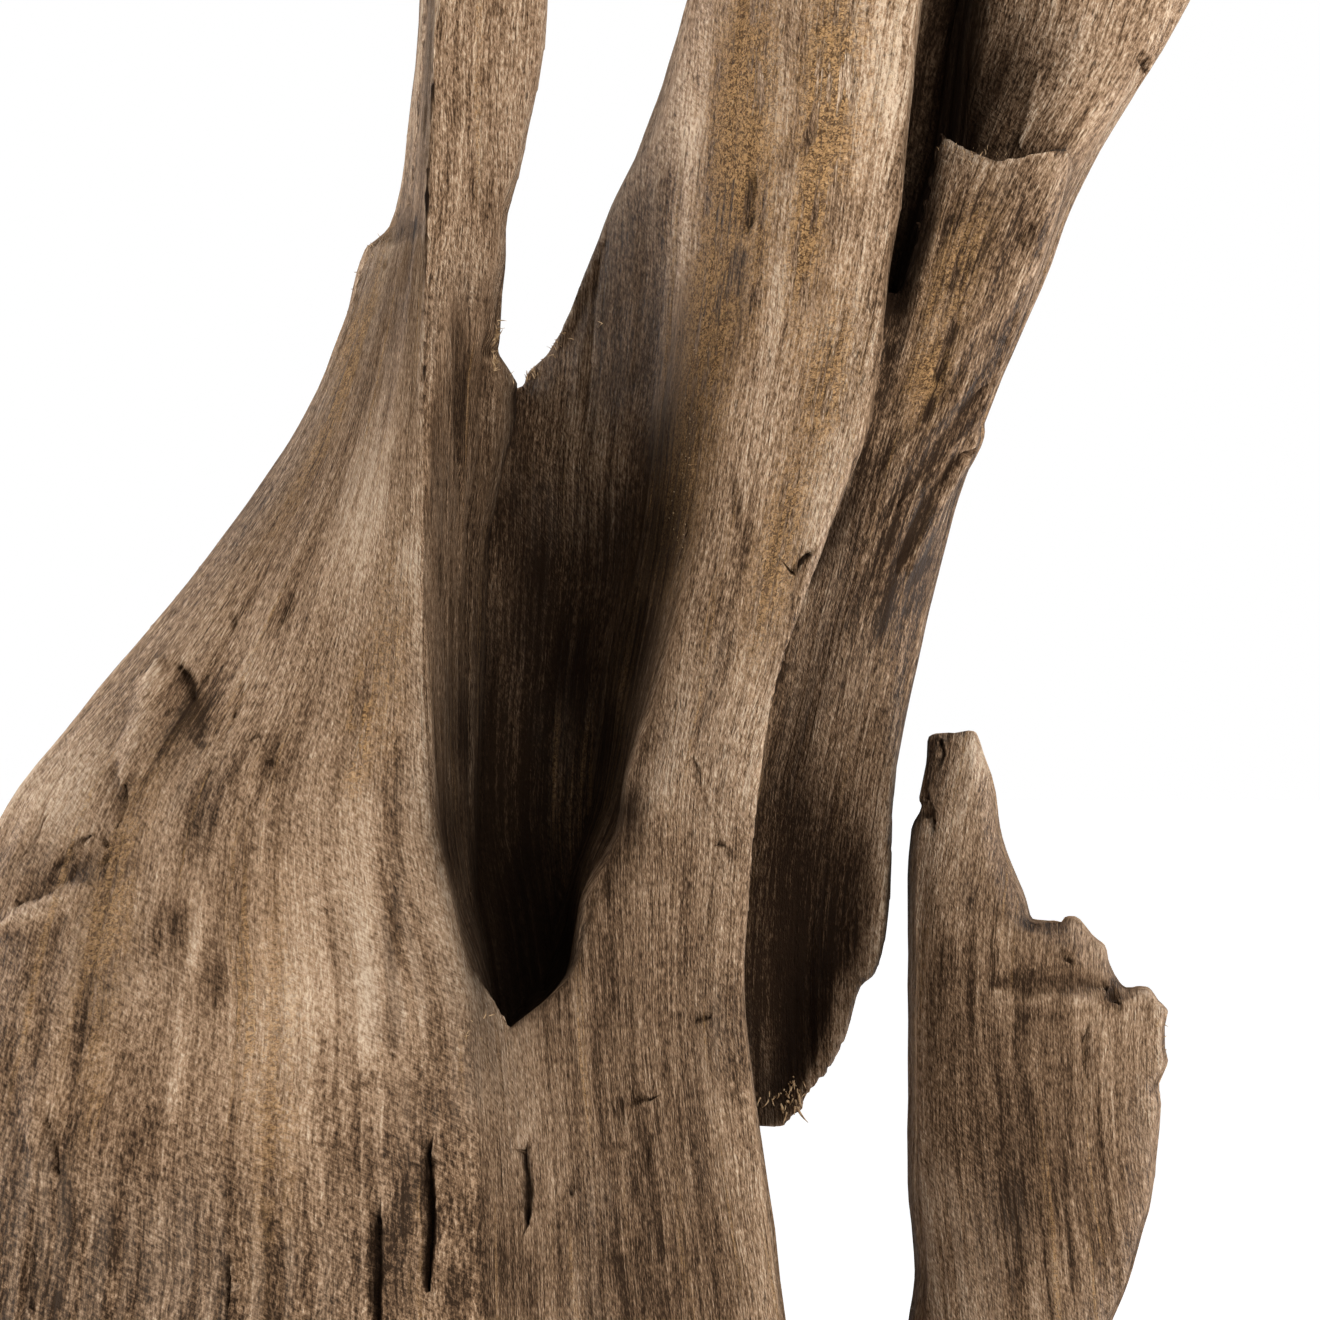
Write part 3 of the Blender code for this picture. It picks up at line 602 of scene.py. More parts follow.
# Cracks, pits and small ridges on the front: width, depth (a ridge is negative), then the x and z
# of the points that it runs through.
MARKS = [
    # the wing
    (3.4, 8.0, [(-68, 243), (-67, 215), (-68, 187)]),
    (3.4, 7.0, [(-87, 218), (-88, 196), (-88, 168)]),
    (2.0, 4.0, [(-147, 200), (-147, 174)]),
    (4.6, 1.5, [(-80, 404), (-81, 375), (-80, 348)]),
    (5.0, 2.0, [(-81, 344), (-83, 312), (-82, 276)]),
    (6.5, -2.0, [(-90, 384), (-92, 330), (-92, 270)]),
    (4.4, -2.4, [(-147, 386), (-154, 350), (-158, 326), (-165, 302), (-166, 278), (-169, 250)]),
    (11.0, -5.0, [(-177, 432), (-181, 412), (-190, 384)]),
    (5.4, 5.0, [(-170, 433), (-166, 425), (-164, 418)]),
    (10.0, 2.0, [(-166, 424), (-160, 400)]),
    (2.4, 1.6, [(-138, 408), (-128, 386)]),
    (5.0, 1.6, [(-124, 460), (-129, 446)]),
    (2.4, 1.6, [(-144, 425), (-146, 411)]),
    (3.0, 3.0, [(-148, 453), (-147, 447)]),
    (3.0, 1.6, [(-83, 518), (-84, 502)]),
    (1.8, 3.0, [(-198, 361), (-198, 360)]),
    (1.8, 3.0, [(-198, 355), (-199, 353)]),
    (3.4, 3.5, [(-190, 384), (-194, 368)]),
    (7.5, 2.6, [(-199, 364), (-212, 352), (-234, 336)]),
    (3.2, 3.0, [(-205, 364), (-219, 350)]),
    (3.2, 3.0, [(-224, 371), (-234, 354)]),
    (9.0, -3.5, [(-206, 344), (-222, 333), (-240, 327)]),
    (7.0, 1.4, [(-151, 316), (-152, 298)]),
    (6.0, 1.4, [(-184, 278), (-185, 266)]),
    (3.4, 4.0, [(-222, 254), (-219, 244), (-215, 230)]),
    (3.4, 3.5, [(-226, 202), (-227, 174)]),
    (7.0, -2.0, [(-230, 300), (-228, 270), (-226, 240)]),
    # the hollow and the trunk
    (2.4, 5.0, [(-29, 246), (-28, 230), (-28, 211)]),
    (3.0, 3.0, [(-9, 232), (-10, 224)]),
    (2.2, 3.0, [(2, 257), (12, 260), (22, 262)]),
    (2.4, 2.5, [(20, 243), (17, 232)]),
    (2.0, 3.0, [(32, 292), (46, 294)]),
    (3.0, 3.0, [(47, 362), (54, 356)]),
    (1.8, 2.0, [(37, 396), (41, 378), (44, 396)]),
    (3.0, 2.4, [(52, 503), (56, 486)]),
    (2.8, 4.5, [(75, 469), (85, 476)]),
    (7.0, 3.2, [(61, 628), (58, 606)]),
    (4.0, -2.0, [(-9, 196), (-9, 150)]),
    (4.0, -2.0, [(10, 208), (10, 202)]),
    # the right column
    (3.0, -2.6, [(144, 560), (138, 541)]),
    (5.0, -2.6, [(150, 548), (130, 526), (112, 500), (104, 480)]),
    (4.6, 2.8, [(156, 544), (137, 520), (120, 496)]),
    (4.6, 2.4, [(150, 520), (132, 498), (120, 470)]),
    (4.6, -2.0, [(158, 530), (140, 505), (124, 470)]),
    (3.0, 3.0, [(174, 610), (170, 600)]),
    (6.0, 3.0, [(136, 516), (130, 506)]),
    (3.4, 4.0, [(219, 681), (221, 672)]),
    (4.0, -1.8, [(168, 630), (158, 590), (146, 560)]),
    (4.2, -3.2, [(170, 640), (174, 652), (178, 672)]),
    (4.2, -2.4, [(138, 582), (134, 568), (126, 554)]),
    # the broken root
    (2.4, 5.0, [(137, 402), (137, 392)]),
    (2.6, 3.0, [(130, 380), (134, 366)]),
    (2.4, 4.0, [(196, 287), (196, 265)]),
    (2.2, -1.1, [(144, 304), (150, 262), (164, 225), (172, 198)]),
    (2.2, -1.1, [(149, 300), (156, 262), (169, 230), (178, 204)]),
    (2.2, -0.9, [(138, 262), (148, 236), (160, 214)]),
    (8.0, 2.6, [(158, 304), (182, 306), (202, 304)]),
    (6.0, -1.4, [(170, 297), (188, 297), (198, 296)]),
    (3.4, 4.0, [(203, 303), (209, 296)]),
    (3.0, 3.0, [(186, 318), (190, 312)]),
]
BROAD = 4.0  # marks from this width up are cut before the surface is thinned
MARK_WANDER = 0.9  # how far a mark strays from its line
FRONT_LIMIT = 70.0  # marks are only cut in wood nearer than this
FACING = 0.35  # and only where the wood's normal points back by less than this
FINEST_EDGE = 0.8
TAPER = 9.0  # the length over which a long crack runs out


def closeness_to_mark(points, mark, reach=0.0):
    """1 on the line of a mark, falling to 0 at its edge. A long crack narrows towards its ends."""
    width, _, path = mark
    lengths = [math.dist(a, b) for a, b in zip(path, path[1:])]
    whole = sum(lengths)
    closest = np.full(len(points), 1e9)
    place = np.zeros(len(points))
    for i, (a, b) in enumerate(zip(path, path[1:])):
        distance, share = along(points, a, b)
        nearer = distance < closest
        closest = np.where(nearer, distance, closest)
        place = np.where(nearer, sum(lengths[:i]) + share * lengths[i], place)
    half = width + reach
    if whole > 2 * width:
        to_end = np.minimum(place, whole - place) / min(TAPER, whole / 2)
        half = half * np.clip(to_end, 0.12, 1) ** 0.6
    return np.clip(1 - closest / half, 0, 1)


def refine_marks(bm):
    """Makes the faces finer where a mark is cut."""
    fine = [mark for mark in MARKS if mark[0] < BROAD]
    for reach in (5.0, 2.5, 1.2):
        points = np.array([v.co for v in bm.verts]) / MM
        normals_y = np.array([v.normal.y for v in bm.verts])
        near = np.zeros(len(points), bool)
        for mark in fine:
            near |= closeness_to_mark(points, mark, reach + MARK_WANDER) > 0
        near &= (normals_y < FACING) & (points[:, 1] < FRONT_LIMIT)
        bm.verts.ensure_lookup_table()
        edges = [e for e in bm.edges if near[e.verts[0].index] and near[e.verts[1].index]]
        edges = [e for e in edges if e.calc_length() > FINEST_EDGE * MM]
        bmesh.ops.subdivide_edges(bm, edges=edges, cuts=1, smooth=0.4)
        bmesh.ops.triangulate(bm, faces=[f for f in bm.faces if len(f.verts) > 3])
        bm.verts.index_update()
        bm.normal_update()


# Small chips and knobs on the edges: x, z, radius, and how far they move in x and z.
CHIPS = [
    (174, 333, 5, -1.5, -4.5), (182, 331, 6, 0, -3.0), (193, 331, 6, 1.0, 3.5),
    (203, 318, 4, 1.5, 1.0), (211, 303, 4, 0, -2.5), (220, 300, 5, 1.0, 2.0),
    (228, 292, 4, 2.0, 2.0), (229, 272, 4, 1.5, 0), (226, 262, 4, -2.0, 0),
    (133, 401, 5, -1.5, 2.0), (150, 403, 6, 1.0, 2.0), (128, 373, 4, 2.0, 0),
    (-34, 548, 4, 2.0, -1.0), (-42, 560, 3, -1.5, 0), (78, 254, 4, 2.0, -2.5), (70, 250, 3, 0, 2.0),
]


def chip_edges(mesh):
    points, _ = read_points(mesh)
    moved = points.copy()
    for x, z, radius, over, up in CHIPS:
        near = np.exp(-(((points[:, 0] - x) ** 2 + (points[:, 2] - z) ** 2) / radius**2))
        moved[:, 0] += near * over
        moved[:, 2] += near * up
    write_points(mesh, moved)


# Where one limb runs into the next without a fold: x, z, half width, half height and strength.
SOFT = [(-36, 508, 18, 34, 1.0), (-44, 450, 16, 44, 1.0)]
SOFT_ROUNDS = 150


def soften_folds(mesh):
    points, normals = read_points(mesh)
    mean = neighbour_mean(mesh, points, SOFT_ROUNDS)
    share = tone(points, grain_of(points), normals, SOFT)
    write_points(mesh, points + (mean - points) * np.clip(share, 0, 1)[:, None])


def cut_marks(mesh, broad):
    """Cuts the cracks and pits into the front, and raises the small ridges."""
    points, normals = read_points(mesh)
    near = np.clip((FACING - normals[:, 1]) / 0.2, 0, 1) * (points[:, 1] < FRONT_LIMIT)
    strayed = points.copy()
    sideways = noise_at(points + 50, (9, 9, 12)) + 0.5 * noise_at(points + 70, (3, 3, 4))
    strayed[:, 0] += MARK_WANDER * sideways
    strayed[:, 2] += MARK_WANDER * noise_at(points + 90, (9, 9, 9))
    move = np.zeros(len(points))
    for mark in MARKS:
        width, depth, _ = mark
        if (width >= BROAD) is not broad:
            continue
        closeness = closeness_to_mark(strayed, mark)
        profile = closeness**2 * (3 - 2 * closeness) if broad else closeness**0.8
        move = np.where(np.abs(profile * depth) > np.abs(move), -profile * depth, move)
    write_points(mesh, points + normals * (move * near)[:, None])


HOLLOW_RAYS = 20
HOLLOW_REACH = 160.0
RAY_START = 1.5  # clear of the surface
SPREAD_ROUNDS = 4


def hollowness(mesh):
    """How much of the sky each point can't see, from 0 in the open to 1 deep in a hollow."""
    points, normals = read_points(mesh)
    tree = BVHTree.FromPolygons(points.tolist(), [p.vertices[:] for p in mesh.polygons])
    golden = math.pi * (3 - math.sqrt(5))
    fan = []
    for i in range(HOLLOW_RAYS):
        up = math.sqrt((i + 0.5) / HOLLOW_RAYS)
        flat = math.sqrt(1 - up * up)
        fan.append(Vector((flat * math.cos(i * golden), flat * math.sin(i * golden), up)))
    shut = np.empty(len(points))
    for i, (point, normal) in enumerate(zip(points, normals)):
        normal = Vector(normal)
        turn = normal.to_track_quat("Z", "X")
        start = Vector(point) + normal * RAY_START
        hits = (tree.ray_cast(start, turn @ ray, HOLLOW_REACH)[3] for ray in fan)
        shut[i] = sum(1 - distance / HOLLOW_REACH for distance in hits if distance is not None)
    return neighbour_mean(mesh, shut / HOLLOW_RAYS, SPREAD_ROUNDS)[:, 0]


def bulge(mesh, rounds):
    """How far each point stands proud of its neighbourhood, in millimetres."""
    points, normals = read_points(mesh)
    return np.sum((points - neighbour_mean(mesh, points, rounds)) * normals, axis=1)


# Tone patches on the front: x, z, half width, half height and strength.
# Pale wood; the patch at (128, 250) is painted light along the broken root's left edge.
PALE = [
    (-108, 296, 20, 60, 1.1), (-98, 345, 10, 70, 0.9), (-77, 650, 9, 90, 1.0),
    (-77, 473, 7, 12, 0.9), (70, 602, 12, 85, 0.7), (108, 658, 13, 70, 1.1), (48, 400, 9, 60, 0.5),
    (198, 655, 17, 42, 0.5), (184, 608, 6, 40, 0.5), (155, 396, 5, 9, 1.8), (196, 262, 9, 50, 0.4),
    (-206, 384, 26, 24, 0.9), (61, 236, 4, 60, 0.6), (-165, 290, 5, 50, 0.8),
    (-140, 440, 26, 30, 0.8), (-52, 650, 16, 60, 0.9), (-176, 400, 10, 24, 0.4),
    (-94, 500, 18, 50, 1.3), (92, 520, 10, 40, 0.5), (34, 660, 6, 50, 0.4),
    (-128, 366, 20, 44, 0.4), (80, 560, 10, 60, 0.5), (144, 557, 3, 10, 1.2),
    (-162, 330, 3, 40, 1.0), (-168, 260, 3, 40, 1.0), (66, 640, 4, 60, 0.8), (98, 600, 6, 60, 0.6),
    (128, 250, 5, 110, 1.0), (-182, 400, 7, 24, 0.8), (36, 640, 6, 60, 1.0), (71, 650, 5, 60, 1.1),
    (-116, 330, 44, 70, 0.45), (150, 590, 22, 40, 0.35), (166, 240, 30, 90, 0.25),
]
# Stains; three are painted shade: (-162, 414) beside the wing's hump, (84, 312) on the flap's inner
# face and (172, 600) in a groove of the broken layer.
STAIN_AND_SHADE = [
    (84, 312, 32, 64, 1.4), (-200, 190, 66, 44, 1.0), (16, 196, 60, 44, 0.8),
    (-130, 180, 40, 36, 0.6), (-24, 380, 30, 90, 1.2), (76, 452, 7, 24, 1.0),
    (126, 640, 8, 60, 0.6), (152, 594, 20, 34, 1.0), (118, 480, 22, 60, 1.6),
    (156, 302, 30, 60, 0.9), (172, 220, 48, 60, 1.1), (-152, 307, 9, 22, 0.6),
    (-185, 272, 9, 24, 0.5), (-162, 414, 8, 18, 1.7), (-140, 330, 8, 34, 0.5),
    (-194, 380, 7, 16, 0.8), (-216, 350, 20, 8, 0.9), (-84, 214, 12, 60, 1.1),
    (-46, 200, 24, 50, 0.8), (34, 326, 32, 40, 0.5), (-128, 452, 6, 16, 0.7),
    (-166, 330, 6, 16, 0.5), (-180, 230, 26, 40, 0.6), (-81, 340, 3, 70, 0.6),
    (58, 614, 5, 22, 0.9), (206, 299, 5, 6, 1.2), (-148, 490, 26, 24, 0.4),
    (-226, 290, 24, 36, 0.4), (-161, 372, 5, 18, 1.1), (-171, 327, 6, 14, 1.1),
    (136, 414, 24, 36, 1.3), (138, 530, 28, 60, 0.9), (196, 612, 22, 24, 0.6),
    (16, 240, 34, 44, 0.7), (172, 600, 9, 26, 1.0), (-131, 392, 4, 12, 0.9), (60, 600, 6, 50, 1.1),
    (72, 672, 5, 30, 0.8), (50, 660, 4, 50, 1.0), (80, 660, 4, 50, 0.8), (-120, 376, 3, 16, 0.7),
    (-196, 352, 3, 20, 0.8), (-56, 540, 5, 34, 1.0), (-81, 390, 2, 30, 0.5),
    (-105, 250, 4, 60, 0.8), (-60, 260, 6, 60, 0.7),
]
# Painted shade, deep brown, on the trunk's left flank, in the hollow, behind the broken layer's lip
# and by the flap.
SHADE = [
    (-4, 586, 20, 50, 0.8), (22, 566, 16, 50, 0.7), (11, 374, 8, 12, 1.0), (-36, 500, 12, 44, 0.8),
    (-26, 556, 12, 30, 0.5), (-46, 430, 10, 50, 0.9), (-52, 380, 8, 40, 0.8),
    (-30, 460, 16, 50, 0.9), (152, 664, 16, 36, 0.9), (-34, 340, 20, 40, 0.9),
    (-50, 440, 9, 30, 0.7), (-56, 405, 9, 36, 1.0), (-60, 360, 9, 44, 1.0), (-50, 320, 10, 40, 1.0),
    (-42, 510, 8, 40, 0.6), (-40, 540, 6, 24, 0.4), (14, 586, 16, 60, 0.6), (2, 540, 24, 44, 0.75),
    (24, 520, 16, 50, 0.85), (6, 480, 26, 50, 1.0), (24, 484, 13, 44, 1.0), (-10, 430, 30, 50, 1.0),
    (14, 442, 13, 50, 1.0), (4, 402, 12, 40, 1.0), (-14, 640, 8, 60, 0.3), (32, 560, 8, 50, 0.45),
    (80, 400, 8, 60, 0.5), (96, 320, 26, 60, 0.7),
]
FIBRE = [
    (57, 650, 10, 56, 1.4), (44, 570, 9, 60, 1.2), (91, 660, 9, 50, 1.4), (83, 610, 6, 40, 1.2),
    (-98, 560, 9, 60, 0.9), (30, 500, 9, 40, 1.0), (-100, 566, 7, 16, 1.0), (40, 545, 8, 40, 1.1),
    (-84, 440, 6, 40, 0.5), (72, 480, 8, 40, 0.9), (90, 545, 9, 34, 0.9), (-196, 330, 5, 60, 0.6),
    (-128, 270, 4, 60, 0.5), (12, 440, 5, 40, 0.7), (132, 549, 6, 18, 0.9), (142, 588, 7, 30, 0.7),
    (-95, 412, 3, 26, 1.3), (66, 620, 5, 60, 0.7),
]
HATCH = [
    (-98, 410, 26, 78, 1.0), (-118, 240, 30, 66, 1.0), (-226, 300, 22, 44, 0.9),
    (160, 240, 30, 80, 1.0), (40, 330, 20, 40, 0.5),
]
CALM = [
    (-130, 320, 70, 120, 1.0), (-206, 360, 46, 80, 0.9), (-94, 500, 24, 80, 0.7),
    (166, 250, 44, 100, 0.7),
]
TWIST = [
    (134, 508, 26, 66, 1.2), (150, 420, 22, 50, 0.8), (164, 560, 16, 30, 0.8),
]


def tone(points, grain, normals, patches):
    """How much of a tone each point has, from the patches of that tone."""
    most = np.zeros(len(points))
    for x, z, half_width, half_height, strength in patches:
        middle = grain_of(np.array([[x, 0.0, z]]))[0, 0]
        far = ((grain[:, 0] - middle) / half_width) ** 2 + ((points[:, 2] - z) / half_height) ** 2
        most = np.maximum(most, strength * np.exp(-far))
    return most * np.clip((0.5 - normals[:, 1]) / 0.3, 0, 1)


def store(mesh, name, values):
    """Keeps values on the mesh's points for the material to read."""
    kind = "FLOAT_VECTOR" if values.ndim == 2 else "FLOAT"
    field = "vector" if values.ndim == 2 else "value"
    layer = mesh.attributes.new(name, kind, "POINT")
    layer.data.foreach_set(field, values.astype(np.float32).ravel())


TONES = {
    "pale": PALE, "stain_and_shade": STAIN_AND_SHADE, "shade": SHADE, "fibre": FIBRE, "hatch": HATCH, "twist": TWIST,
    "calm": CALM,
}
SURFACE_TRIANGLES = 170000
GRAIN_ROUNDS = 24  # how far the flanks are smoothed out under the relief
PROUD_ROUNDS, SWELL_ROUNDS = 6, 60


def make_wood_mesh():
    bm = bmesh.new()
    for table in (WING, TRUNK, WEB, FLAP, TUBE_BACK, LAYER, SPIKE, SADDLE):
        add_limb(bm, table)
    for root in ROOTS:
        add_root(bm, *root)
    bmesh.ops.recalc_face_normals(bm, faces=bm.faces[:])
    mesh = bpy.data.meshes.new("weathered_driftwood")
    bm.to_mesh(mesh)
    bm.free()
    piece = bpy.data.objects.new("weathered_driftwood", mesh)
    bpy.context.scene.collection.objects.link(piece)

    fuse = piece.modifiers.new("fuse", "REMESH")
    fuse.mode = "VOXEL"
    fuse.voxel_size = VOXEL * MM
    replace_mesh(piece, evaluated(piece))
    soften = piece.modifiers.new("soften", "SMOOTH")
    soften.iterations = 3
    replace_mesh(piece, evaluated(piece))
    soften_folds(piece.data)
    chip_edges(piece.data)
    carve_weather(piece.data)
    cut_marks(piece.data, True)
    tear_tips(piece.data)

    thin = piece.modifiers.new("thin", "DECIMATE")
    piece.data.calc_loop_triangles()
    thin.ratio = min(1, SURFACE_TRIANGLES / len(piece.data.loop_triangles))
    replace_mesh(piece, evaluated(piece))

    bm = bmesh.new()
    bm.from_mesh(piece.data)
    keep_largest_island(bm)
    everything = bm.verts[:] + bm.edges[:] + bm.faces[:]
    cut = bmesh.ops.bisect_plane(
        bm, geom=everything, plane_co=(0, 0, 0), plane_no=(0, 0, 1), clear_inner=True, dist=1e-5
    )
    rim = [e for e in cut["geom_cut"] if isinstance(e, bmesh.types.BMEdge)]
    bmesh.ops.triangle_fill(bm, edges=rim, use_beauty=True, normal=(0, 0, -1))
    bmesh.ops.triangulate(bm, faces=[f for f in bm.faces if len(f.verts) > 3])
    bmesh.ops.recalc_face_normals(bm, faces=bm.faces[:])
    bm.verts.index_update()
    refine_marks(bm)
    bm.to_mesh(piece.data)
    bm.free()
    cut_marks(piece.data, False)
    piece.data.shade_smooth()
    piece.data.set_sharp_from_angle(angle=math.radians(70))

    points, normals = read_points(piece.data)
    grain = grain_of(points)
    store(piece.data, "grain", grain)
    store(piece.data, "flank", flank_share(piece.data, GRAIN_ROUNDS))
    store(piece.data, "hollow", hollowness(piece.data))
    store(piece.data, "proud", bulge(piece.data, PROUD_ROUNDS))
    store(piece.data, "swell", bulge(piece.data, SWELL_ROUNDS))
    for name, patches in TONES.items():
        store(piece.data, name, tone(points, grain, normals, patches))
    return piece


def add_node(tree, kind, label, **settings):
    made = tree.nodes.new(kind)
    made.label = label
    for key, value in settings.items():
        setattr(made, key, value)
    return made


def feed(tree, socket, value):
    """Links value to a socket if it is a socket itself, and sets it otherwise."""
    if isinstance(value, bpy.types.NodeSocket):
        tree.links.new(value, socket)
    else:
        socket.default_value = value


def calc(tree, label, operation, *values, clamp=False):
    made = add_node(tree, "ShaderNodeMath", label, operation=operation, use_clamp=clamp)
    for socket, value in zip(made.inputs, values):
        feed(tree, socket, value)
    return made.outputs[0]


def spread(tree, label, value, low, high, to_low=0.0, to_high=1.0):
    """Value taken smoothly from low..high to 0..1."""
    made = add_node(tree, "ShaderNodeMapRange", label, interpolation_type="SMOOTHSTEP")
    for socket, item in zip(made.inputs, (value, low, high, to_low, to_high)):
        feed(tree, socket, item)
    return made.outputs[0]


def blend(tree, label, kind, share, first, second):
    made = add_node(tree, "ShaderNodeMix", label, data_type="RGBA", blend_type=kind)
    feed(tree, made.inputs[0], share)
    feed(tree, made.inputs[6], first)
    feed(tree, made.inputs[7], second)
    return made.outputs[2]


def kept(tree, name, output="Fac"):
    return add_node(tree, "ShaderNodeAttribute", name, attribute_name=name).outputs[output]


def streaks_group():
    """Noise drawn out along the grain. Across and Along are its size in millimetres.

    It is read over x where the wood faces forwards and over y on its flanks.
    """
    group = bpy.data.node_groups.new("grain_streaks", "ShaderNodeTree")
    for name, kind, value in (
        ("Grain", "NodeSocketVector", None), ("Flank", "NodeSocketFloat", 0.0),
        ("Across", "NodeSocketFloat", 5.0), ("Along", "NodeSocketFloat", 100.0),
        ("Detail", "NodeSocketFloat", 2.0), ("Roughness", "NodeSocketFloat", 0.5),
        ("Shift", "NodeSocketFloat", 0.0),
    ):
        socket = group.interface.new_socket(name, in_out="INPUT", socket_type=kind)
        if value is not None:
            socket.default_value = value
    group.interface.new_socket("Streak", in_out="OUTPUT", socket_type="NodeSocketFloat")
    inside = add_node(group, "NodeGroupInput", "in")
    outside = add_node(group, "NodeGroupOutput", "out")
    axes = add_node(group, "ShaderNodeSeparateXYZ", "axes")
    group.links.new(inside.outputs["Grain"], axes.inputs[0])
    up = calc(group, "up", "DIVIDE", axes.outputs["Z"], inside.outputs["Along"])
    read = []
    for name in ("X", "Y"):
        over = calc(group, f"over {name}", "DIVIDE", axes.outputs[name], inside.outputs["Across"])
        place = add_node(group, "ShaderNodeCombineXYZ", f"place {name}")
        moved = calc(group, f"moved {name}", "ADD", over, inside.outputs["Shift"])
        group.links.new(moved, place.inputs[0])
        group.links.new(up, place.inputs[1])
        found = add_node(group, "ShaderNodeTexNoise", f"noise {name}", noise_dimensions="2D")
        found.inputs["Scale"].default_value = 1.0
        group.links.new(place.outputs[0], found.inputs["Vector"])
        group.links.new(inside.outputs["Detail"], found.inputs["Detail"])
        group.links.new(inside.outputs["Roughness"], found.inputs["Roughness"])
        read.append(found.outputs["Fac"])
    mixed = add_node(group, "ShaderNodeMix", "front or flank", data_type="FLOAT")
    for socket, value in zip(mixed.inputs, (inside.outputs["Flank"], None, read[0], read[1])):
        if value is not None:
            group.links.new(value, socket)
    group.links.new(mixed.outputs[0], outside.inputs["Streak"])
    return group


# Colours of the weathered wood.
TONE_LEVEL, TONE_CONTRAST = 0.455, 1.10
DARK_GRAIN = (0.030, 0.016, 0.008, 1)
BROWN = (0.150, 0.087, 0.047, 1)
TAN = (0.355, 0.230, 0.140, 1)
BLEACHED = (0.620, 0.468, 0.330, 1)
DARK_FIBRE = (0.100, 0.048, 0.018, 1)
GOLD_FIBRE = (0.600, 0.345, 0.145, 1)
BLUE_GREY = (0.165, 0.135, 0.108, 1)
# Near-black of rot and of painted shade in the hollows and grooves.
ROT_AND_SHADE = (0.0130, 0.0060, 0.0025, 1)
FUZZ_SIZE = 1.3  # of the clumps in torn fibre

# The streaks of the grain: their size across and along it in millimetres, detail, roughness, and a
# shift that keeps one set from repeating another.
STREAKS = {
    "bands": (9.0, 240.0, 4.0, 0.55, 3.0),
    "lines": (2.4, 120.0, 4.0, 0.60, 11.0),
    "threads": (0.8, 22.0, 2.0, 0.65, 23.0),
    "hairs": (0.6, 3.4, 2.0, 0.75, 37.0),
    "blotch": (22.0, 110.0, 5.0, 0.60, 51.0),
    "mottle": (5.0, 26.0, 4.0, 0.65, 63.0),
    "patch": (60.0, 120.0, 3.0, 0.50, 77.0),
    "fleck": (1.4, 10.0, 3.0, 0.60, 91.0),
    "fur": (0.75, 3.6, 2.0, 0.70, 111.0),
    "twisted": (5.0, 46.0, 3.0, 0.55, 121.0),
    "wide seam": (7.0, 600.0, 1.0, 0.40, 101.0),
    "fine seam": (2.6, 260.0, 1.0, 0.40, 131.0),
}
SLANTS = {"fur": 38, "twisted": -24}  # degrees that these are turned across the grain
TONE_SHARES = {
    "bands": 0.26, "lines": 0.26, "threads": 0.70, "blotch": 0.36, "mottle": 0.24, "patch": 0.24,
}
HAIR_TONE = 1.25
SWAY_SIZE, SWAY = 90, (8, 8, 0)  # the grain wavers by this much
# How much less contrast, fewer hairs and less groove dirt and painted shade the calm patches have.
CALMED, CALMED_HAIRS, CALMED_DIRT_AND_SHADE = -0.80, -0.30, -0.35


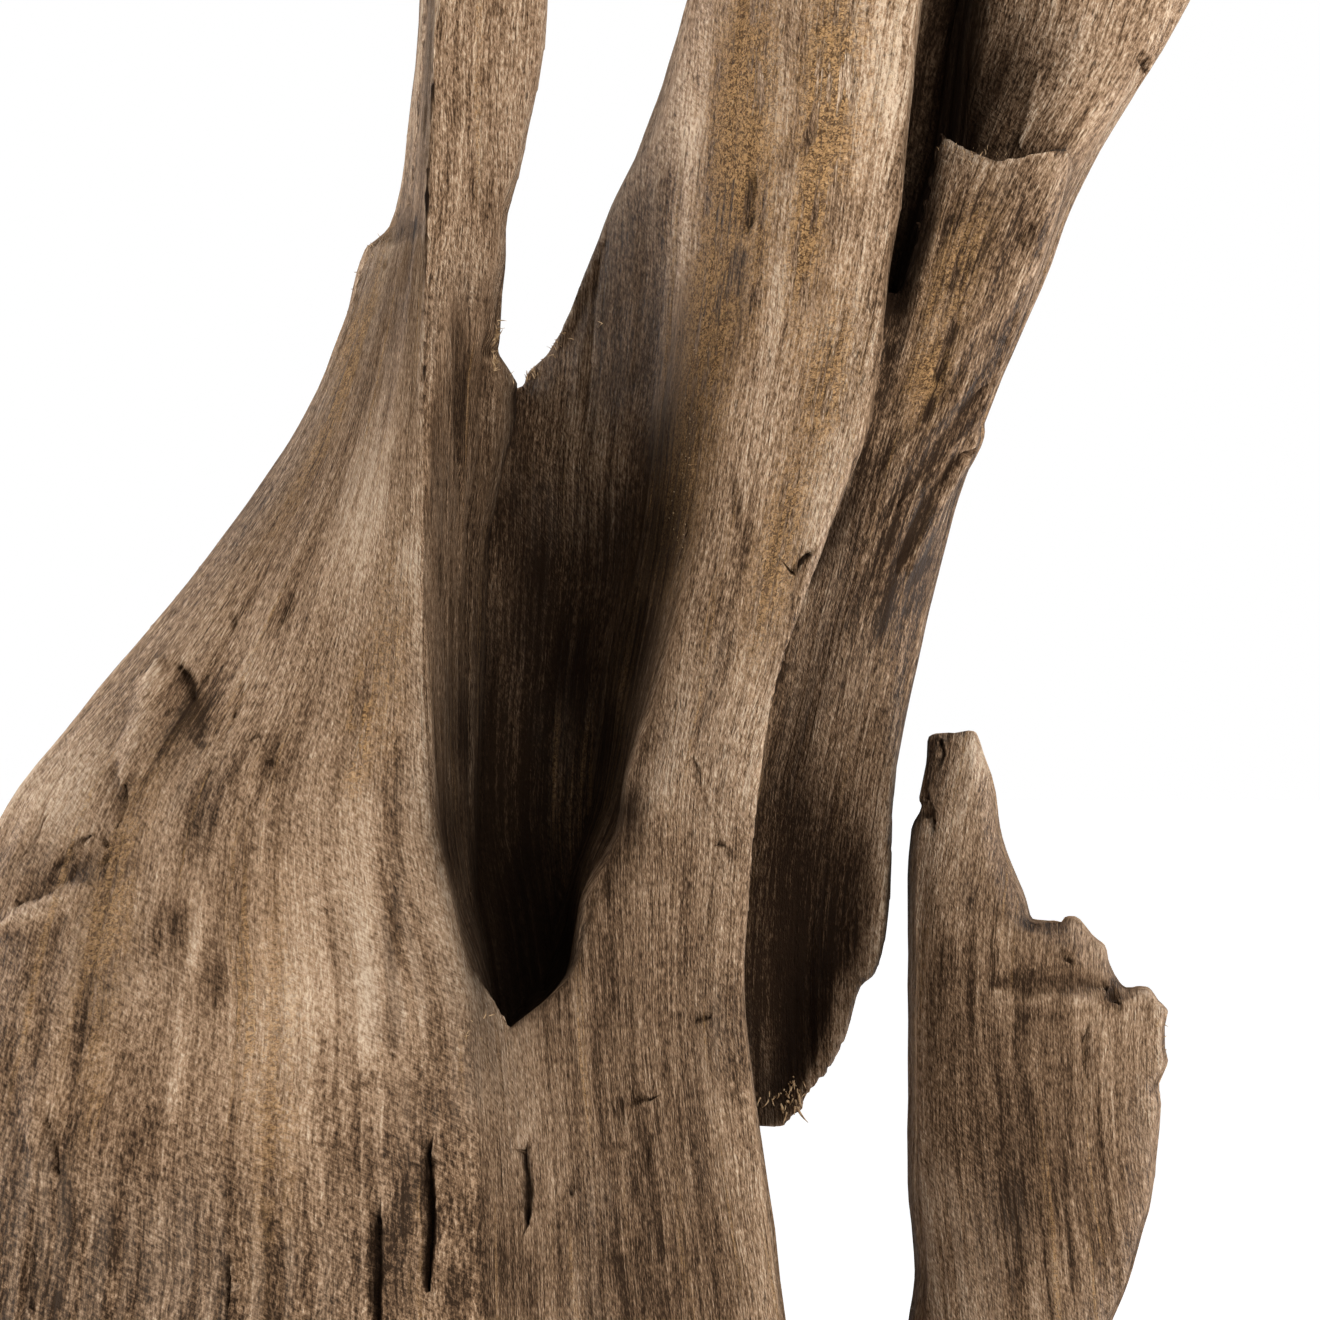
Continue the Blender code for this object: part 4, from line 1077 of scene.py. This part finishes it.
def make_wood_material():
    material = bpy.data.materials.new("weathered_wood")
    material.use_nodes = True
    tree = material.node_tree
    shader = tree.nodes["Principled BSDF"]
    shader.inputs["Metallic"].default_value = 0.0
    shader.inputs["Specular IOR Level"].default_value = 0.06

    def times(label, *values, clamp=False):
        return calc(tree, label, "MULTIPLY", *values, clamp=clamp)

    def add(label, item, share, total, clamp=False):
        """Item times share, added to total."""
        return calc(tree, label, "MULTIPLY_ADD", item, share, total, clamp=clamp)

    def between(label, *values):
        return spread(tree, label, *values)

    raw = kept(tree, "grain", "Vector")
    flank, hollow, proud, swell = (kept(tree, n) for n in ("flank", "hollow", "proud", "swell"))
    pale, stain_and_shade, shade, fibre = (kept(tree, n) for n in ("pale", "stain_and_shade", "shade", "fibre"))
    hatch, twist, calm = (kept(tree, n) for n in ("hatch", "twist", "calm"))

    sway = add_node(tree, "ShaderNodeTexNoise", "sway", noise_dimensions="3D")
    sway.inputs["Scale"].default_value = 1 / SWAY_SIZE
    sway.inputs["Detail"].default_value = 4.0
    sway.inputs["Roughness"].default_value = 0.4
    tree.links.new(raw, sway.inputs["Vector"])
    swayed = add_node(tree, "ShaderNodeVectorMath", "swayed", operation="MULTIPLY_ADD")
    tree.links.new(sway.outputs["Color"], swayed.inputs[0])
    swayed.inputs[1].default_value = SWAY
    tree.links.new(raw, swayed.inputs[2])
    grain = swayed.outputs[0]

    group = streaks_group()
    read = {}
    for name, sizes in STREAKS.items():
        run = grain
        if name in SLANTS:
            turned = add_node(tree, "ShaderNodeMapping", f"{name} slant", vector_type="POINT")
            turned.inputs["Rotation"].default_value = (0, math.radians(SLANTS[name]), 0)
            tree.links.new(grain, turned.inputs["Vector"])
            run = turned.outputs[0]
        made = add_node(tree, "ShaderNodeGroup", name, node_tree=group)
        for socket, value in zip(made.inputs, (run, flank, *sizes)):
            feed(tree, socket, value)
        read[name] = made.outputs[0]
    bands, lines, threads, hairs = (read[n] for n in ("bands", "lines", "threads", "hairs"))
    blotch, mottle, patch, fleck = (read[n] for n in ("blotch", "mottle", "patch", "fleck"))
    fur_places = between("fur places", patch, 0.40, 0.60, 0.45, 0.9)
    fur_share = add("fur share", hatch, 0.6, fur_places, clamp=True)
    quiet = add("quiet", calm, CALMED, 1.0)

    # Thin dark lines, where a long smooth noise crosses its middle.
    def seam(name, width, places):
        middle = calc(tree, f"{name} middle", "SUBTRACT", read[name], 0.5)
        off = calc(tree, f"{name} off", "ABSOLUTE", middle)
        return times(f"{name}s", between(f"{name} line", off, width, width * 0.2), places)

    wide_places = between("seam places", blotch, 0.40, 0.56)
    fine_places = between("fine seam places", mottle, 0.40, 0.60, 0.15, 0.75)
    wide, fine = seam("wide seam", 0.030, wide_places), seam("fine seam", 0.045, fine_places)
    seams = times("quiet seams", calc(tree, "seams", "MAXIMUM", wide, fine), quiet)

    # Tone: 0 is dark grain, 1 is bleached wood.
    total = -0.5 * sum(TONE_SHARES.values())
    for name, share in TONE_SHARES.items():
        total = add(f"tone of {name}", read[name], share, total)
    total = times("calmed", total, quiet)
    hair_tone = add("hair tone", hairs, HAIR_TONE, -0.5 * HAIR_TONE)
    hair_tone = times("calmed hairs", hair_tone, add("quiet hairs", calm, CALMED_HAIRS, 1.0))
    total = calc(tree, "tone of hairs", "ADD", hair_tone, total)
    for name, mask, share in (("fur", fur_share, 0.6), ("twisted", twist, 1.0)):
        centred = calc(tree, f"{name} centred", "SUBTRACT", read[name], 0.5)
        total = add(f"tone of {name}", times(f"{name} tone", centred, mask), share, total)
    total = add("contrast", total, TONE_CONTRAST, TONE_LEVEL)
    # Pale wood, and painted light along the broken root's left edge.
    pale_share = times("pale share", pale, between("pale streaks", lines, 0.3, 0.6, 0.55, 1.0))
    # Stain, with painted shade where a stain patch copies a shadow.
    stained_and_shaded = times("streaky stain", stain_and_shade, between("stain streaks", lines, 0.70, 0.34, 0.55, 1.1))
    broken = between("stain breaks", mottle, 0.70, 0.34, 0.6, 1.1)
    stained_and_shaded = times("broken stain", stained_and_shaded, broken)
    cloud_edge = between("cloud edge", mottle, 0.60, 0.42, 0.4, 1.0)
    cloud = times("cloud", between("clouds", blotch, 0.44, 0.36), cloud_edge)
    # Tone rises where the wood stands proud and falls where it sinks: wear on the raised grain,
    # painted shade in the dips.
    for name, item, share in (
        ("pale", pale_share, 0.30), ("proud", proud, 0.10), ("swell", swell, 0.03),
        ("stained_and_shaded", stained_and_shaded, -0.36), ("seams", seams, -0.15), ("cloud", cloud, -0.10),
    ):
        total = add(f"plus {name}", item, share, total)
    ramp = add_node(tree, "ShaderNodeValToRGB", "wood tones")
    tree.links.new(total, ramp.inputs[0])
    stops = ramp.color_ramp.elements
    stops[0].position, stops[0].color = 0.05, DARK_GRAIN
    stops[1].position, stops[1].color = 1.0, BLEACHED
    for position, tint in ((0.36, BROWN), (0.66, TAN)):
        stops.new(position).color = tint
    colour = ramp.outputs[0]

    # Grey weathering in patches.
    grey_lines = between("grey lines", lines, 0.35, 0.65)
    grey = times("grey", between("grey patch", patch, 0.46, 0.66), grey_lines)
    grey = times("grey share", grey, 0.18)
    colour = blend(tree, "weathered grey", "MIX", grey, colour, BLUE_GREY)

    # Golden fibres in clumps where the wood is torn.
    long_strips = between("long strips", lines, 0.46, 0.56)
    ragged_strips = between("ragged strips", mottle, 0.43, 0.53)
    strips = calc(tree, "fibre strips", "MAXIMUM", long_strips, ragged_strips)
    fibre_share = times("fibre share", fibre, strips, clamp=True)
    fuzz = add_node(tree, "ShaderNodeTexNoise", "fuzz", noise_dimensions="3D")
    fuzz.inputs["Scale"].default_value = 1 / FUZZ_SIZE
    fuzz.inputs["Detail"].default_value = 4.0
    fuzz.inputs["Distortion"].default_value = 1.2
    tree.links.new(grain, fuzz.inputs["Vector"])
    clumps = between("fibre clumps", fuzz.outputs["Fac"], 0.38, 0.62)
    gold = blend(tree, "clumped fibre", "MIX", clumps, DARK_FIBRE, GOLD_FIBRE)
    stray_lines = between("stray lines", lines, 0.5, 0.6)
    stray = times("stray fibre", between("stray", bands, 0.58, 0.70), stray_lines)
    fibre_share = add("all fibre", stray, 0.5, fibre_share, clamp=True)
    tint = times("fibre tint", fibre_share, 0.85)
    colour = blend(tree, "golden fibre", "MIX", tint, colour, gold)

    # Checks: short dark slits along the grain.
    slit_places = between("slit places", blotch, 0.42, 0.58)
    slits = times("placed slits", between("slits", fleck, 0.36, 0.28), slit_places)
    slits = times("quiet slits", slits, quiet)
    colour = blend(tree, "dark slits", "MIX", times("slit share", slits, 0.7), colour, DARK_GRAIN)

    # Painted shade and rot deep in the hollows and in the shade patches, and dirt and painted shade
    # in the grooves.
    shade_streaks = between("shade streaks", lines, 0.70, 0.40, 0.88, 1.0)
    shaded = times("streaky shade", shade, shade_streaks, clamp=True)
    # Painted shade in the hollows: the less sky a point sees, the darker it is painted.
    deep = calc(tree, "all shade", "MAXIMUM", between("deep", hollow, 0.24, 0.62), shaded)
    deep = times("washed shade", deep, between("washed", pale, 0.0, 1.0, 1.0, 0.3))
    groove_share = add("groove share", calm, CALMED_DIRT_AND_SHADE, 0.75)
    groove = times("groove dirt", between("groove", proud, -0.25, -2.0), groove_share)
    dirt_and_shade = calc(tree, "dirt_and_shade", "MAXIMUM", deep, groove)
    dirt_and_shade_streaks = between("dirt streaks", lines, 0.75, 0.2, 0.92, 1.05)
    dirt_and_shade = times("streaky dirt", dirt_and_shade, dirt_and_shade_streaks, clamp=True)
    colour = blend(tree, "rot_and_shade", "MIX", times("rot share", dirt_and_shade, 0.97), colour, ROT_AND_SHADE)
    tree.links.new(colour, shader.inputs["Base Color"])

    rough = add("rough", threads, 0.3, 0.55)
    rough = add("rougher fibre", fibre_share, 0.15, rough, clamp=True)
    tree.links.new(rough, shader.inputs["Roughness"])

    # Relief in millimetres.
    height = times("line height", lines, 0.6)
    for name, item, share in (
        ("threads", threads, 0.9), ("hairs", hairs, 1.6), ("mottle", mottle, 0.6),
        ("twist", times("twist ridges", read["twisted"], twist), 4.6),
        ("seams", seams, -0.5), ("slits", slits, -0.8),
        ("fuzz", times("fuzz height", fuzz.outputs["Fac"], fibre_share), 4.0),
        ("fur", times("fur height", read["fur"], fur_share), 1.4),
    ):
        height = add(f"height of {name}", item, share, height)
    bump = add_node(tree, "ShaderNodeBump", "relief")
    bump.inputs["Strength"].default_value = 1.0
    bump.inputs["Distance"].default_value = MM
    tree.links.new(height, bump.inputs["Height"])
    tree.links.new(bump.outputs[0], shader.inputs["Normal"])
    return material


driftwood = make_wood_mesh()
driftwood.data.materials.append(make_wood_material())
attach(driftwood, "root")
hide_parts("driftwood")


# The torn fibres
#
# Thin splinters and curled fibres still held at the torn edges: in the notch, along the broken
# layer's lip, at the flap's end, on the broken root and in the soft strips of the trunk.
FIBRE_SIDES, FIBRE_JOINTS = 5, 4
FIBRE_DARK = (0.190, 0.110, 0.050, 1)
FIBRE_PALE = (0.440, 0.300, 0.170, 1)
# Each tuft: the x and z of its two ends, how many fibres, their length and thickness, and the way
# that they lean in x, y and z.
TUFTS = [
    ((-40, 572), (-34, 552), 40, 4.0, 0.36, (0.7, -0.2, 0.8)),
    ((-34, 552), (-26, 552), 20, 3.4, 0.36, (0.1, -0.3, 1.0)),
    ((-26, 552), (-14, 572), 26, 2.6, 0.30, (-0.7, -0.2, 0.6)),
    ((136, 642), (150, 634), 16, 2.0, 0.26, (0.0, -0.2, 1.0)),
    ((150, 634), (166, 640), 12, 2.0, 0.26, (0.0, -0.2, 1.0)),
    ((66, 250), (84, 262), 30, 3.6, 0.40, (0.2, -0.1, -1.0)),
    ((76, 252), (84, 264), 8, 7.0, 0.70, (0.1, 0.0, -1.0)),
    ((226, 300), (229, 276), 14, 2.6, 0.35, (1.0, -0.2, 0.3)),
    ((-54, 286), (-40, 296), 8, 2.6, 0.30, (0.5, -0.6, 0.5)),
    ((-87, 604), (-96, 598), 10, 2.0, 0.28, (-0.6, -0.2, 0.8)),
    ((52, 680), (44, 590), 60, 1.6, 0.26, (0.2, -1.0, 0.3)),
    ((88, 690), (78, 560), 80, 1.6, 0.26, (-0.2, -1.0, 0.3)),
    ((42, 570), (30, 480), 50, 1.5, 0.26, (0.2, -1.0, 0.3)),
    ((-100, 590), (-110, 540), 40, 1.5, 0.26, (-0.4, -1.0, 0.2)),
    ((100, 560), (72, 470), 40, 1.5, 0.26, (0.2, -1.0, 0.3)),
]
TIP_TUFTS = [((-47, 4, 900), 14), ((154, 2, 934), 14), ((271, 24, 878), 14), ((154, 72, 838), 10)]
FIBRE_SCATTER = 2.6
RAY_FROM, RAY_DEEPEST = -0.3, 0.13  # metres in y: where the rays that place fibres start and end


def add_fibre(bm, root, way, length, thickness, rng):
    """One bent fibre that tapers from its root."""
    radius = thickness * MM
    ring = bmesh.ops.create_circle(bm, segments=FIBRE_SIDES, radius=radius, cap_ends=False)["verts"]
    edges = []
    for vert in ring:
        edges += [edge for edge in vert.link_edges if edge not in edges]
    bmesh.ops.contextual_create(bm, geom=edges)
    bend = rng.uniform(-0.5, 0.5, 2)
    verts = list(ring)
    step = length * MM / FIBRE_JOINTS
    for joint in range(1, FIBRE_JOINTS + 1):
        made = bmesh.ops.extrude_edge_only(bm, edges=edges)["geom"]
        ring = [part for part in made if isinstance(part, bmesh.types.BMVert)]
        edges = [part for part in made if isinstance(part, bmesh.types.BMEdge)]
        up = joint / FIBRE_JOINTS
        sway = (2 * joint - 1) / FIBRE_JOINTS * step
        bmesh.ops.translate(bm, verts=ring, vec=(bend[0] * sway, bend[1] * sway, step))
        centre = sum((vert.co for vert in ring), Vector()) / len(ring)
        for vert in ring:
            vert.co = centre + (vert.co - centre) * (1 - 0.6 * up * up)
        verts += ring
    bmesh.ops.contextual_create(bm, geom=edges)
    turn = Vector(way).to_track_quat("Z", "X")
    bmesh.ops.translate(bm, verts=verts, vec=(0, 0, -0.2 * length * MM))
    bmesh.ops.rotate(bm, verts=verts, cent=(0, 0, 0), matrix=turn.to_matrix())
    bmesh.ops.translate(bm, verts=verts, vec=root)


def make_fibres(wood):
    rng = np.random.default_rng(7)
    points, _ = read_points(wood.data)
    tree = BVHTree.FromPolygons((points * MM).tolist(), [p.vertices[:] for p in wood.data.polygons])
    bm = bmesh.new()
    for start, end, count, length, thickness, lean in TUFTS:
        for _ in range(count):
            share = rng.random()
            x = start[0] + share * (end[0] - start[0]) + rng.normal() * FIBRE_SCATTER
            z = start[1] + share * (end[1] - start[1]) + rng.normal() * FIBRE_SCATTER
            hit = tree.ray_cast(Vector((x * MM, RAY_FROM, z * MM)), Vector((0, 1, 0)))[0]
            if hit is None or hit.y > RAY_DEEPEST:
                hit = tree.find_nearest(Vector((x * MM, 0.03, z * MM)))[0]
            way = np.array(lean) + rng.normal(size=3) * 0.45
            long, thick = length * rng.uniform(0.5, 1.2), thickness * rng.uniform(0.6, 1.1)
            add_fibre(bm, hit, way, long, thick, rng)
    for tip, count in TIP_TUFTS:
        for _ in range(count):
            place = Vector(tip) + Vector(rng.normal(size=3) * (3, 3, 6))
            hit = tree.find_nearest(place * MM)[0]
            way = np.array((0, 0, 1)) + rng.normal(size=3) * 0.2
            add_fibre(bm, hit, way, rng.uniform(2, 4), rng.uniform(0.3, 0.6), rng)
    bmesh.ops.recalc_face_normals(bm, faces=bm.faces[:])
    mesh = bpy.data.meshes.new("torn_fibres")
    bm.to_mesh(mesh)
    bm.free()
    mesh.shade_smooth()
    fibres = bpy.data.objects.new("torn_fibres", mesh)
    bpy.context.scene.collection.objects.link(fibres)
    return fibres


def make_fibre_material():
    """Dry torn fibre: golden brown at the root, paler here and there, and quite matt."""
    material = bpy.data.materials.new("torn_fibre")
    material.use_nodes = True
    tree = material.node_tree
    shader = tree.nodes["Principled BSDF"]
    shader.inputs["Specular IOR Level"].default_value = 0.2
    place = add_node(tree, "ShaderNodeTexCoord", "place")
    clumps = add_node(tree, "ShaderNodeTexNoise", "clumps")
    clumps.inputs["Scale"].default_value = 420.0
    clumps.inputs["Detail"].default_value = 2.0
    tree.links.new(place.outputs["Object"], clumps.inputs["Vector"])
    share = spread(tree, "clump share", clumps.outputs["Fac"], 0.35, 0.65)
    colour = blend(tree, "fibre colour", "MIX", share, FIBRE_DARK, FIBRE_PALE)
    tree.links.new(colour, shader.inputs["Base Color"])
    rough = calc(tree, "rough", "MULTIPLY_ADD", share, 0.15, 0.75)
    tree.links.new(rough, shader.inputs["Roughness"])
    return material


fibres = make_fibres(driftwood)
fibres.data.materials.append(make_fibre_material())
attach(fibres, "root")


# The studio
#
# A wide pale floor under a soft white sky, with a large soft light in front, above and to the
# left, and two narrow ones behind that catch the edges.
FLOOR_SIZE = 60.0
FLOOR_COLOUR = (0.93, 0.93, 0.925, 1)
FLOOR_GLOW = 0.68
SKY_SEEN, SKY_LIGHT = 1.0, 0.22

bm = bmesh.new()
bmesh.ops.create_grid(bm, x_segments=1, y_segments=1, size=FLOOR_SIZE / 2)
floor_mesh = bpy.data.meshes.new("studio_floor")
bm.to_mesh(floor_mesh)
bm.free()
floor = bpy.data.objects.new("studio_floor", floor_mesh)
bpy.context.scene.collection.objects.link(floor)
pale = bpy.data.materials.new("pale_floor")
pale.use_nodes = True
pale_shader = pale.node_tree.nodes["Principled BSDF"]
pale_shader.inputs["Base Color"].default_value = FLOOR_COLOUR
pale_shader.inputs["Roughness"].default_value = 0.9
pale_shader.inputs["Specular IOR Level"].default_value = 0.1
pale_shader.inputs["Emission Color"].default_value = (1, 1, 1, 1)
pale_shader.inputs["Emission Strength"].default_value = FLOOR_GLOW
floor_mesh.materials.append(pale)

world = bpy.data.worlds.new("studio_sky")
world.use_nodes = True
bpy.context.scene.world = world
sky = world.node_tree.nodes["Background"]
sky.inputs["Color"].default_value = (1, 1, 1, 1)
seen = add_node(world.node_tree, "ShaderNodeLightPath", "seen")
strength = add_node(world.node_tree, "ShaderNodeMapRange", "sky strength")
feed(world.node_tree, strength.inputs[0], seen.outputs["Is Camera Ray"])
strength.inputs[3].default_value = SKY_LIGHT
strength.inputs[4].default_value = SKY_SEEN
world.node_tree.links.new(strength.outputs[0], sky.inputs["Strength"])


def add_light(name, kind, place, target, power, size):
    light = bpy.data.lights.new(name, kind)
    light.energy = power
    lamp = bpy.data.objects.new(name, light)
    lamp.location = place
    lamp.rotation_euler = (Vector(target) - Vector(place)).to_track_quat("-Z", "Y").to_euler()
    bpy.context.scene.collection.objects.link(lamp)
    if kind == "AREA":
        light.shape = "RECTANGLE"
        light.size, light.size_y = size
    else:
        light.angle = size
    return lamp


MIDDLE = (0.0, 0.0, 0.45)
add_light("key", "AREA", (0.75, -1.45, 1.25), MIDDLE, 30, (0.9, 0.9))
add_light("fill", "AREA", (-2.7, -1.2, 1.0), MIDDLE, 29, (1.2, 1.2))
add_light("edge_left", "AREA", (-1.5, 1.3, 0.8), MIDDLE, 42, (0.5, 1.6))
add_light("edge_right", "AREA", (1.5, 1.3, 0.8), MIDDLE, 34, (0.5, 1.6))
add_light("ceiling", "SUN", (0, 0, 3), (0, 0, 0), 0.6, math.radians(100))
bpy.context.scene.view_settings.view_transform = "Standard"


# The camera looks level along +Y from far off. The foot and the tips are outside its frame.
FRAME_WIDTH = 0.528  # of the frame, in the plane that the camera is set on
DISTANCE = 4.5
camera = bpy.data.objects.new("camera", bpy.data.cameras.new("camera"))
camera.location = (0.024, -0.04 - DISTANCE, 0.434)
camera.rotation_euler = (math.pi / 2, 0, 0)
camera.data.lens = camera.data.sensor_width * DISTANCE / FRAME_WIDTH
camera.data.clip_start, camera.data.clip_end = 0.1, 100.0
bpy.context.scene.collection.objects.link(camera)
bpy.context.scene.camera = camera
